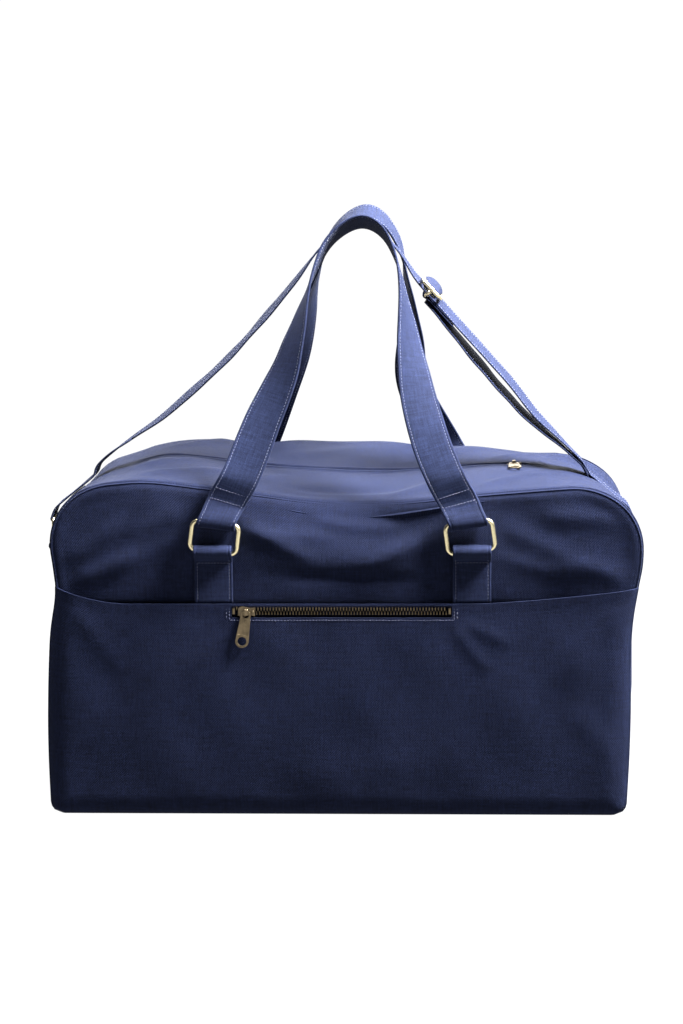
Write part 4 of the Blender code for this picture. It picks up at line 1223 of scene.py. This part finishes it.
def ring_loop(side):
    """The strap's lines at a side ring: the outer ply up the bag's corner, the loop and the inner ply."""
    bar = (SIDE_RING_X, SIDE_RING_Z + RING_HEIGHT)
    outer = catmull([(bar[0] + STRAP_LOOP_R, bar[1])] + list(STRAP_CORNER_ROUTE), 8)
    turn = unit(np.gradient(outer, axis=0))
    inner = outer + np.stack([-turn[:, 1], turn[:, 0]], axis=-1) * STRAP_PLY_PITCH
    loop = np.array(arc(bar, STRAP_LOOP_R, 175, 352, 16))
    flip = np.array((side, 1.0))
    return outer[2:] * flip, loop * flip, inner * flip


def blend_corner(obj):
    """Bakes the world transform of a strap piece at the bag's upper corner into its mesh."""
    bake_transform(obj)


def nearest(values, target, allowed):
    """Index of the allowed value that lies closest to the target."""
    return int(np.argmin(np.where(allowed, np.abs(values - target), np.inf)))


def shoulder_strap():
    """The upper ply from side ring to side ring, in two ends and a middle that swings."""
    outer_l, loop_l, inner_l = ring_loop(-1)
    outer_r, loop_r, inner_r = ring_loop(1)
    knots = [outer_l[-9], outer_l[-1], *STRAP_LEFT_ROUTE, run_point(0.0), run_point(RUN_START)]
    climb = catmull(knots, 10)[10:-1]
    run = np.array([run_point(s) for s in np.linspace(RUN_START, RUN_LENGTH, 60)])
    join = catmull([run[-2], run[-1], outer_r[-1], outer_r[-2]], 8)[8:-8]
    line = np.concatenate([inner_l[18:-8][::-1], loop_l, outer_l, climb[1:], run[1:], join[1:],
                           outer_r[::-1][1:], loop_r[::-1], inner_r[8:]])
    keep = np.concatenate([[True], np.linalg.norm(np.diff(line, axis=0), axis=1) > 2e-4])
    line = line[keep]
    x, z = line[:, 0], line[:, 1]
    tilt = STRAP_TILT * smoothstep(*TILT_FROM, z) * smoothstep(*TILT_TO, z)
    index = np.arange(len(line))
    top = int(np.argmax(z))
    left_cut = nearest(x, CUT_LEFT_X, (index < top) & (index > 40))
    right_cut = nearest(x, CUT_RIGHT_X, (index > top) & (z >= 0.33))
    last_outer = int(np.argmin(np.abs(x - loop_r[-1][0]) + np.abs(z - loop_r[-1][1])))
    strap = flat_strap(line, STRAP_THICK, tilt, seed=71, wave=0.0005)
    length = strap.length
    low = length[nearest(z, 0.30, index < top)]
    pieces = (("left", 0, left_cut + 1, "strap_end_left", low, length[left_cut]),
              ("middle", left_cut, right_cut + 1, "shoulder_strap", length[left_cut], length[right_cut]),
              ("right", right_cut, len(line), "strap_end_right",
               length[right_cut], length[last_outer] - 0.004))
    for word, first, last, node, from_d, to_d in pieces:
        body = "shoulder_strap" if word == "middle" else None
        cloth = strap.mesh("strap_canvas_" + word, body, (node,), first, last)
        sewing = stitch_mesh("strap_stitches_" + word, strap.edge_rows((1, -1), from_d, to_d), body)
        if word != "middle":
            for obj in (cloth, sewing):
                blend_corner(obj)
    return inner_r


def return_ply(inner_r):
    """The slack ply that comes back from the right ring, under the strap, and ends below the adjuster."""
    knots = [run_point(s, inward) for s, inward in RETURN_ROUTE]
    line = catmull(knots + [run_point(RUN_LENGTH, STRAP_PLY_PITCH), inner_r[-1]], 10)
    tilt = STRAP_TILT * smoothstep(*TILT_FROM, line[:, 1])
    strap = flat_strap(line, STRAP_THICK, tilt, seed=72, wave=0.0006)
    cut = int(np.argmin(np.abs(line[:, 0] - CUT_RIGHT_X)))
    strap.mesh("return_canvas", "shoulder_strap", ("strap_return_ply",), 0, cut + 1)
    low = strap.mesh("return_canvas_low", None, (), cut, len(line))
    blend_corner(low)
    stitch_mesh("return_stitches", strap.edge_rows((1, -1), 0.002, strap.length[cut]), "shoulder_strap")


def adjuster():
    """The brass adjuster: a rectangular frame, a middle bar bent down behind the strap, and two collars."""
    down = np.array((RUN_DOWN[0], 0.0, RUN_DOWN[1]))
    out = np.array((RUN_OUT[0], 0.0, RUN_OUT[1]))
    across = np.array((0.0, 1.0, 0.0))
    middle = run_point(ADJUSTER_S)
    centre = np.array((middle[0], 0.0, middle[1]))
    length, width = ADJUSTER_HALF_LENGTH, ADJUSTER_HALF_WIDTH
    outline = round_rectangle((-length, -width), (length, width), ADJUSTER_CORNER, 7)
    path = [centre + down * u + across * v + out * ADJUSTER_OUT for u, v in outline]
    frame_wire = wire_mesh("adjuster_frame", path, ADJUSTER_WIRE, sides=14)
    dress(frame_wire, PALE_BRASS, "adjuster", ("strap_adjuster",))
    bend = -ADJUSTER_IN + BAR_BEND
    profile = [(-width, ADJUSTER_OUT), (-width, bend)]
    profile += arc((-width + BAR_BEND, bend), BAR_BEND, 180, 270, 6)
    profile += arc((width - BAR_BEND, bend), BAR_BEND, 270, 360, 6)
    profile += [(width, ADJUSTER_OUT)]
    path = [centre + across * v + out * w for v, w in profile]
    dress(wire_mesh("adjuster_bar", path, ADJUSTER_WIRE * 0.9, closed=False), PALE_BRASS, "adjuster")
    for side, word in ((-1, "front"), (1, "back")):
        joint = centre + across * (side * width) + out * ADJUSTER_OUT
        collar("adjuster_collar_" + word, joint, down, across, out)


def adjuster_loop():
    """The strap's fat loop where it climbs over the adjuster's middle bar; it is a little narrower there."""
    stops = np.linspace(-LOOP_REACH, LOOP_REACH, 41)
    levels = LOOP_FOOT + LOOP_HEIGHT * (1 - (np.abs(stops) / LOOP_REACH) ** 2.6) ** 0.62
    line = [run_point(ADJUSTER_S + stop, -level) for stop, level in zip(stops, levels)]
    strap = flat_strap(line, LOOP_THICK, np.full(len(line), STRAP_TILT), seed=74, wave=0.00015)
    strap.width = STRAP_WIDTH - 0.0008
    strap.mesh("adjuster_loop_canvas", "adjuster", ())


def collar(name, joint, down, across, out, sides=14):
    """The swollen joint where the bar meets the frame."""
    verts = []
    for run, radius in COLLAR_PROFILE:
        for k in range(sides):
            angle = 2 * math.pi * k / sides
            verts.append(joint + down * run + (across * math.cos(angle) + out * math.sin(angle)) * radius)
    dress(face_out(build(name, verts, tube_faces(len(COLLAR_PROFILE), sides))), PALE_BRASS, "adjuster")


def sewn_end():
    """The strap's end, sewn round the adjuster's middle bar."""
    centre = run_point(ADJUSTER_S, ADJUSTER_IN)
    pitch = (SEWN_THICK + GAP) / 2

    def spot(distance, outward):
        return tuple(centre + RUN_DOWN * distance + RUN_OUT * outward)

    line = [spot(d, pitch) for d in np.linspace(SEWN_LENGTH * 0.75, 0.0080, 8)]
    for angle in np.radians(np.linspace(58, 302, 19)):
        line.append(spot(SEWN_LOOP_R * math.cos(angle), SEWN_LOOP_R * math.sin(angle)))
    line += [spot(d, -pitch) for d in np.linspace(0.0080, SEWN_LENGTH, 11)]
    strap = flat_strap(line, SEWN_THICK, seed=73, wave=0.00015)
    strap.mesh("sewn_end_canvas", "adjuster", ("strap_sewn_end",))
    spots = strap.cross_spots(strap.length[-1] - 0.004) + strap.cross_spots(strap.length[-1] - 0.020)
    stitch_mesh("sewn_end_stitches", spots, "adjuster")


def side_fittings():
    """The tabs and rings on the gussets, which hold the shoulder strap."""
    for side, word in ((-1, "left"), (1, "right")):
        def place(out, z, side=side):
            return np.array((side * (HALF_WIDTH + out), 0.0, z))

        tab("side_tab_canvas_" + word, "side_tab_" + word, place, SIDE_TAB_LOW_Z, SIDE_RING_Z)
        low_bar = (side * SIDE_RING_X, 0.0, SIDE_RING_Z)
        ring("side_ring_" + word, low_bar, (0.0, 1.0, 0.0), (0.0, 0.0, 1.0), "bag")


# ---------------------------------------------------------------- zips


TOOTH_PITCH = 0.0030
TOOTH_NEAR, TOOTH_FAR, TOOTH_DEPTH = 0.0004, 0.0034, 0.0021
TOOTH_SECTION = ((-1, -1), (1, -1), (1, 0.55), (0.55, 1), (-0.55, 1), (-1, 0.55))
TOOTH_PROFILE = ((0.0, 0.80), (0.0012, 0.80), (0.0022, 0.55), (TOOTH_FAR - TOOTH_NEAR, 0.75))
CHAIN_DROP = 0.0036
TAPE_EDGE = 0.0036
TAPE_DROP = 0.0038
STOP_HALF_WIDTH, STOP_HALF_THICK = 0.0012, 0.0011
TOP_SLIDER_RISE = 0.0067
PULL_LEVEL = 0.0043
PULL_TILT = math.radians(9.0)
PULL_STAND = 0.040
PULL_LENGTH, PULL_TOP_HALF, PULL_LOW_HALF = 0.036, 0.0050, 0.0066
PULL_EYE_BAR, PULL_HOLE_R, PULL_THICK = 0.0020, 0.0044, 0.0014


def tooth_row(name, spots, body, nodes):
    """Cast teeth. Each spot is (root, along, inward, outward): the tooth reaches inward from its root."""
    verts = []
    faces = []
    last = len(TOOTH_PROFILE) - 1
    for root, along, inward, outward in spots:
        base = len(verts)
        for run, wide in TOOTH_PROFILE:
            shoulder = 1.0 if run < 0.002 else 0.82
            for u, w in TOOTH_SECTION:
                verts.append(root + inward * run + along * (u * wide * TOOTH_PITCH * 0.30)
                             + outward * (w * TOOTH_DEPTH / 2 * shoulder))
        for a in range(base, base + last * 6, 6):
            faces += [(a + k, a + (k + 1) % 6, a + 6 + (k + 1) % 6, a + 6 + k) for k in range(6)]
        faces.append(tuple(range(base, base + 6)))
        faces.append(tuple(range(base + last * 6, base + last * 6 + 6))[::-1])
    obj = face_out(build(name, verts, faces, smooth=False))
    return dress(obj, ANTIQUE, body, nodes)


def plate_mesh(name, outline, low, high, place, holes=(), bevel=0.0003):
    """A cut plate with softened edges; `place` maps (u, v, level) to space."""
    bm = bmesh.new()
    edges = []
    for loop in (outline,) + tuple(holes):
        verts = [bm.verts.new(place(u, v, low)) for u, v in loop]
        edges += [bm.edges.new(pair) for pair in zip(verts, verts[1:] + verts[:1])]
    bmesh.ops.triangle_fill(bm, use_beauty=True, use_dissolve=False, edges=edges)
    lift = Vector(place(0, 0, high)) - Vector(place(0, 0, low))
    grown = bmesh.ops.extrude_face_region(bm, geom=bm.faces[:])
    moved = [v for v in grown["geom"] if isinstance(v, bmesh.types.BMVert)]
    bmesh.ops.translate(bm, verts=moved, vec=lift)
    bmesh.ops.recalc_face_normals(bm, faces=bm.faces[:])
    bmesh.ops.dissolve_limit(bm, angle_limit=math.radians(1.0), verts=bm.verts[:], edges=bm.edges[:])
    mesh = bpy.data.meshes.new(name)
    bm.to_mesh(mesh)
    bm.free()
    obj = bpy.data.objects.new(name, mesh)
    bpy.context.scene.collection.objects.link(obj)
    if bevel:
        soft = obj.modifiers.new("edges", "BEVEL")
        soft.width = bevel
        soft.segments = 2
        soft.limit_method = "ANGLE"
        settle(obj)
    obj.data.shade_flat()
    return obj


def mirrored(half):
    """A half outline with its mirror image across the middle line."""
    return half + [(u, -v) for u, v in reversed(half)]


def zip_stop(name, node, half_width, place):
    """A small brass block clamped across the chain's end."""
    outline = [(-STOP_HALF_WIDTH, -half_width), (STOP_HALF_WIDTH, -half_width),
               (STOP_HALF_WIDTH, half_width), (-STOP_HALF_WIDTH, half_width)]
    dress(plate_mesh(name, outline, -STOP_HALF_THICK, STOP_HALF_THICK, place), ANTIQUE, "bag", (node,))


def zip_tape(name, points, across, along, flip):
    """A strip of woven tape through a grid of points; `across` and `along` are its cloth coordinates."""
    still = np.zeros(across.shape)
    tape = surface(name, points, still, directions(points), np.stack([along, across], axis=-1), flip=flip,
                   thick=TAPE_CLOTH_THICK)
    return settle(tape)


def slider(word, body, place):
    """The slider's two plates, its neck, the raised ridge and the bridge that holds the pull."""
    plate_low, plate_high = 0.0015, 0.0027
    outline = mirrored([(-0.0082, 0.0030), (-0.0064, 0.0049), (-0.0036, 0.0054), (-0.0006, 0.0046),
                        (0.0030, 0.0036), (0.0066, 0.0040), (0.0080, 0.0047), (0.0082, 0.0044)])
    parts = [plate_mesh(word + "_plate_upper", outline, plate_low, plate_high, place),
             plate_mesh(word + "_plate_lower", outline, -plate_high, -plate_low, place)]
    neck = arc((-0.0045, 0.0), 0.0006, 0, 345, 12)
    parts.append(plate_mesh(word + "_neck", neck, -plate_low, plate_low, place, bevel=0))
    bridge = [(-0.0032, 0.0024), (-0.0019, 0.0024), (-0.0019, 0.0059), (0.0019, 0.0059), (0.0019, 0.0024),
              (0.0032, 0.0024), (0.0032, 0.0066), (0.0024, 0.0072), (-0.0024, 0.0072), (-0.0032, 0.0066)]
    parts.append(plate_mesh(word + "_bridge", bridge, -0.0016, 0.0016,
                            lambda u, v, level: place(level, u, v), bevel=0.0004))
    ridge = [(0.0052, 0.0024), (0.0080, 0.0024), (0.0078, 0.0046), (0.0070, 0.0052), (0.0058, 0.0052),
             (0.0053, 0.0046)]
    parts.append(plate_mesh(word + "_ridge", ridge, -0.0014, 0.0014,
                            lambda u, v, level: place(u, level, v), bevel=0.0004))
    for index, part in enumerate(parts):
        dress(part, ANTIQUE, body, (word + "_zip_slider",) if index == 0 else ())


def pull(word, body, place):
    """The pull tab: a raised rim round a sunk panel, an eye above and a round hole below."""
    centre = -(PULL_LENGTH - PULL_LOW_HALF)
    top = PULL_EYE_BAR / 2
    right = [(0.0026, top), (PULL_TOP_HALF - 0.0006, top - 0.0014), (PULL_TOP_HALF, -0.0030),
             (PULL_TOP_HALF, -0.0060), (PULL_LOW_HALF - 0.0004, centre + 0.0060)]
    foot = arc((0.0, centre), PULL_LOW_HALF, 0, -180, 20)
    outline = right + foot + [(-u, v) for u, v in reversed(right)]
    eye = [(-0.0032, -top - 0.0006), (-0.0020, -top), (0.0020, -top), (0.0032, -top - 0.0006),
           (0.0033, -0.0036), (0.0024, -0.0052), (0.0, -0.0064), (-0.0024, -0.0052), (-0.0033, -0.0036)]
    hole = arc((0.0, centre), PULL_HOLE_R, 0, 345, 23)
    half = PULL_THICK / 2
    core = plate_mesh(word + "_pull_core", outline, -half * 0.45, half * 0.45, place, (eye, hole), bevel=0)
    dress(core, ANTIQUE, body, (word + "_zip_pull",))
    rim_hole = [(-0.0040, -0.0078), (0.0040, -0.0078), (0.0047, centre + 0.0062)]
    rim_hole += arc((0.0, centre + 0.0007), 0.0059, 62, 118, 8)
    rim_hole += [(-0.0047, centre + 0.0062)]
    rim = plate_mesh(word + "_pull_rim", outline, -half, half, place, (eye, hole, rim_hole), bevel=0.00022)
    dress(rim, ANTIQUE, body)


def top_level(x):
    """Height of the top over the zip."""
    return float(warp(np.array([[x, 0.0, HEIGHT]]))[0, 2])


def top_chain(side, word, part, low, high):
    """The teeth and tape of one side of the mouth zip, between two places along it."""
    body = word + "_flap" if part == "middle" else None
    spots = []
    shift = 0.0 if side < 0 else 0.5
    for step in range(math.ceil(low / TOOTH_PITCH), int(high / TOOTH_PITCH) + 1):
        x = (step + shift) * TOOTH_PITCH
        if not low <= x < high:
            continue
        parted = 0.0 if abs(x - 0.178) > 0.012 else 0.0012
        root = np.array((x, side * (TOOTH_FAR + parted), top_level(x) - CHAIN_DROP))
        spots.append((root, np.array((1.0, 0, 0)), np.array((0, -side, 0.0)), np.array((0, 0, 1.0))))
    row = tooth_row("top_teeth_" + word + "_" + part, spots, body, ("top_zip_teeth_" + word,) if body else ())
    xs = np.linspace(low, high, 30)
    ys = np.array((TAPE_EDGE, 0.0060, 0.0100, 0.0150, 0.0200)) * side
    gx, gy = np.meshgrid(xs, ys)
    gz = np.array([[top_level(x) for x in xs]] * len(ys)) - TAPE_DROP - 0.10 * (np.abs(gy) - TAPE_EDGE)
    tape = zip_tape("top_tape_" + word + "_" + part, np.stack([gx, gy, gz], axis=-1), gy, gx, side > 0)
    dress(tape, TAPE_CLOTH, body, ("top_zip_tape_" + word,) if body else ())
    if not body:
        bend_end(row, part)
        bend_end(tape, part)


def top_zip():
    """The mouth zip: chains under the lips, slider, pull and stops."""
    for side, word in ((-1, "front"), (1, "back")):
        for part, low, high in top_parts(ZIP_REACH):
            top_chain(side, word, part, low, high)
    x = box_middle("top_zip_slider")
    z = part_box("top_zip_teeth_front")[0].z + TOP_SLIDER_RISE

    def place(along, across, level):
        return (x + along, across, z + level)

    slider("top", "top_slider", place)
    pull("top", "top_pull", lambda u, v, level: place(u, v, PULL_LEVEL + level))
    for word in ("left", "right"):
        middle = box_middle("top_zip_stop_" + word)
        level = top_level(middle) - CHAIN_DROP
        zip_stop("top_stop_" + word, "top_zip_stop_" + word, 0.0032,
                 lambda u, v, w, m=middle, l=level: (m + u, v, l + w))


def pocket_zip():
    """The pocket's zip: it follows the pocket's sag. `settled` gives a point `out` in front of its plane."""
    y = 0.5 * (CHAIN_LOW.y + CHAIN_HIGH.y)
    z = 0.5 * (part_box("pocket_zip_teeth_lower")[0].z + CHAIN_HIGH.z)

    def settled(x, height, out):
        moved = warp(pocket_surface(np.array([x]), np.array([z]))[0])[0]
        return np.array((moved[0], y - out, moved[2] + height - z))

    for side, word in ((1, "upper"), (-1, "lower")):
        spots = []
        shift = 0.0 if side > 0 else 0.5
        for step in range(int((CHAIN_HIGH.x - CHAIN_LOW.x) / TOOTH_PITCH)):
            x = CHAIN_LOW.x + (step + 0.5 + shift) * TOOTH_PITCH
            if x > CHAIN_HIGH.x - 0.001:
                continue
            parted = 0.0009 * float(smoothstep(-0.092, -0.097, x))
            root = settled(x, z + side * (TOOTH_FAR + parted), 0.0)
            spots.append((root, np.array((1.0, 0, 0)), np.array((0, 0, -side * 1.0)), np.array((0, -1.0, 0))))
        tooth_row("pocket_teeth_" + word, spots, "bag", ("pocket_zip_teeth_" + word,))
        xs = np.linspace(WINDOW_X[0] - 0.004, WINDOW_X[1] + 0.004, 50)
        hs = np.minimum(z + side * np.array((TAPE_EDGE, 0.0060, 0.0080, 0.0098)), POCKET_TOP - 0.0016)
        points = np.array([[settled(x, h, -0.0008) for x in xs] for h in hs])
        gx, gz = np.meshgrid(xs, hs)
        tape = zip_tape("pocket_tape_" + word, points, gz, gx, side < 0)
        dress(tape, TAPE_CLOTH, "bag", ("pocket_zip_tape_" + word,))
    x0 = box_middle("pocket_zip_slider")
    z0 = float(settled(x0, z, 0.0)[2])
    slider("pocket", "pocket_slider", lambda u, v, level: (x0 + u, y - level, z0 + v))

    def hang(u, v, level):
        x = x0 + u * math.cos(PULL_TILT) + v * math.sin(PULL_TILT)
        height = z0 + v * math.cos(PULL_TILT) - u * math.sin(PULL_TILT)
        return (x, y - PULL_LEVEL - level + v * PULL_STAND, height)

    pull("pocket", "pocket_pull", hang)
    for word in ("left", "right"):
        spot = settled(box_middle("pocket_zip_stop_" + word), z, 0.0)
        zip_stop("pocket_stop_" + word, "pocket_zip_stop_" + word, 0.0030,
                 lambda u, v, w, s=spot: (s[0] + u, s[1] - w, s[2] + v))


# ---------------------------------------------------------------- stitching on the panels


STITCH_SINK = 0.00008
WINDOW_SEWING = 0.0022
HEM_END = 0.004


def pocket_line(name, xz):
    """Stitches on the pocket's face along a line of plain (x, z) points."""
    _, spots, along = spaced(xz)

    def on_face(xz_row):
        points, disp = pocket_surface(xz_row[:, 0], xz_row[:, 1])
        moved = warp(points)
        moved[:, 1] -= disp + STITCH_SINK
        return moved

    here, ahead = on_face(spots), on_face(spots + along * 0.0005)
    outward = np.array((0.0, -1.0, 0.0))
    stitch_mesh(name, [(spot, unit(there - spot), outward) for spot, there in zip(here, ahead)], "bag")


def level_line(name, low, high, z):
    pocket_line(name, [(x, z) for x in np.linspace(low, high, 60)])


def panel_stitches():
    """Stitches along the pocket's hem and round its window, with a bar across each end."""
    hem = POCKET_TOP - HEM
    low = WINDOW_Z[0] - 0.0026
    window_left, window_right = WINDOW_X[0] - WINDOW_SEWING, WINDOW_X[1] + WINDOW_SEWING
    level_line("hem_stitches_left", -HALF_WIDTH + HEM_END, WINDOW_X[0] - HEM_END, hem)
    level_line("hem_stitches_right", WINDOW_X[1] + HEM_END, HALF_WIDTH - HEM_END, hem)
    level_line("window_stitches_low", window_left, window_right, low)
    for word, x in (("left", window_left), ("right", window_right)):
        pocket_line("window_stitches_" + word, [(x, z) for z in np.linspace(low, hem, 8)])
        out = x + math.copysign(0.0030, x)
        pocket_line("window_bar_" + word, [(out, z) for z in np.linspace(low + 0.001, hem, 8)])


handles()
return_ply(shoulder_strap())
adjuster()
adjuster_loop()
sewn_end()
side_fittings()
top_zip()
pocket_zip()
panel_stitches()


# ---------------------------------------------------------------- stage


FLOOR_Z = -0.0002
SWEEP_Y, SWEEP_DEEP, SWEEP_HIGH, BACKDROP_TOP = 3.2, 1.6, 1.6, 7.0
BACKDROP_GREY = 0.015
BACKDROP_GLOW = 1.0
AIM = (0.0, 0.0, 0.3)


def stage():
    """A floor that curves up into a backdrop, nearly white."""
    profile = [(-9.0, FLOOR_Z), (SWEEP_Y, FLOOR_Z)]
    profile += [(SWEEP_Y + SWEEP_DEEP * math.sin(a), SWEEP_HIGH * (1 - math.cos(a)))
                for a in np.linspace(0.1, math.pi / 2, 12)]
    profile += [(SWEEP_Y + SWEEP_DEEP, BACKDROP_TOP)]
    verts = [(x, y, z) for y, z in profile for x in (-14.0, 14.0)]
    faces = [(2 * k, 2 * k + 1, 2 * k + 3, 2 * k + 2) for k in range(len(profile) - 1)]
    sweep = build("backdrop", verts, faces)
    n = Nodes("backdrop")
    n.set(Base_Color=(BACKDROP_GREY, BACKDROP_GREY, BACKDROP_GREY, 1), Roughness=1.0, Specular_IOR_Level=0.0,
          Emission_Color=(1, 1, 1, 1), Emission_Strength=BACKDROP_GLOW)
    sweep.data.materials.append(n.material)


def area_light(name, location, size, power):
    """A rectangular light that faces the bag; its size is in metres and its power in watts."""
    light = bpy.data.lights.new(name, "AREA")
    light.shape = "RECTANGLE"
    light.size, light.size_y = size
    light.energy = power
    obj = bpy.data.objects.new(name, light)
    obj.location = location
    obj.rotation_euler = (Vector(AIM) - Vector(location)).to_track_quat("-Z", "Y").to_euler()
    bpy.context.scene.collection.objects.link(obj)


def lights():
    """A key light from the right, soft light from above and behind, and a faint world."""
    area_light("key", (1.05, -0.20, 1.65), (0.7, 0.55), 530)
    area_light("overhead", (-0.25, -0.05, 1.9), (1.0, 0.40), 110)
    area_light("rear", (0.2, 1.6, 1.6), (2.4, 1.0), 90)
    world = bpy.data.worlds.new("studio")
    bpy.context.scene.world = world
    world.use_nodes = True
    world.node_tree.nodes["Background"].inputs["Color"].default_value = (0.95, 0.97, 1, 1)
    world.node_tree.nodes["Background"].inputs["Strength"].default_value = 0.05


CAMERA_TURN = math.radians(2.5)
CAMERA_REACH = 2.29
CAMERA_HEIGHT = 0.655
CAMERA_PITCH = math.radians(9.2)
CAMERA_ROLL = math.radians(0.5)
CAMERA_AIM = math.radians(0.09)
LENS_MM, SENSOR_MM = 78.9, 36.0


def camera():
    """A long lens at about the height of the raised handles."""
    data = bpy.data.cameras.new("camera")
    data.lens = LENS_MM
    data.sensor_width = SENSOR_MM
    obj = bpy.data.objects.new("camera", data)
    turn = CAMERA_TURN
    obj.location = (CAMERA_REACH * math.sin(turn), -CAMERA_REACH * math.cos(turn), CAMERA_HEIGHT)
    obj.rotation_euler = (math.pi / 2 - CAMERA_PITCH, CAMERA_ROLL, turn - CAMERA_AIM)
    bpy.context.scene.collection.objects.link(obj)
    bpy.context.scene.camera = obj


stage()
lights()
camera()
bpy.context.scene.view_settings.view_transform = "Standard"
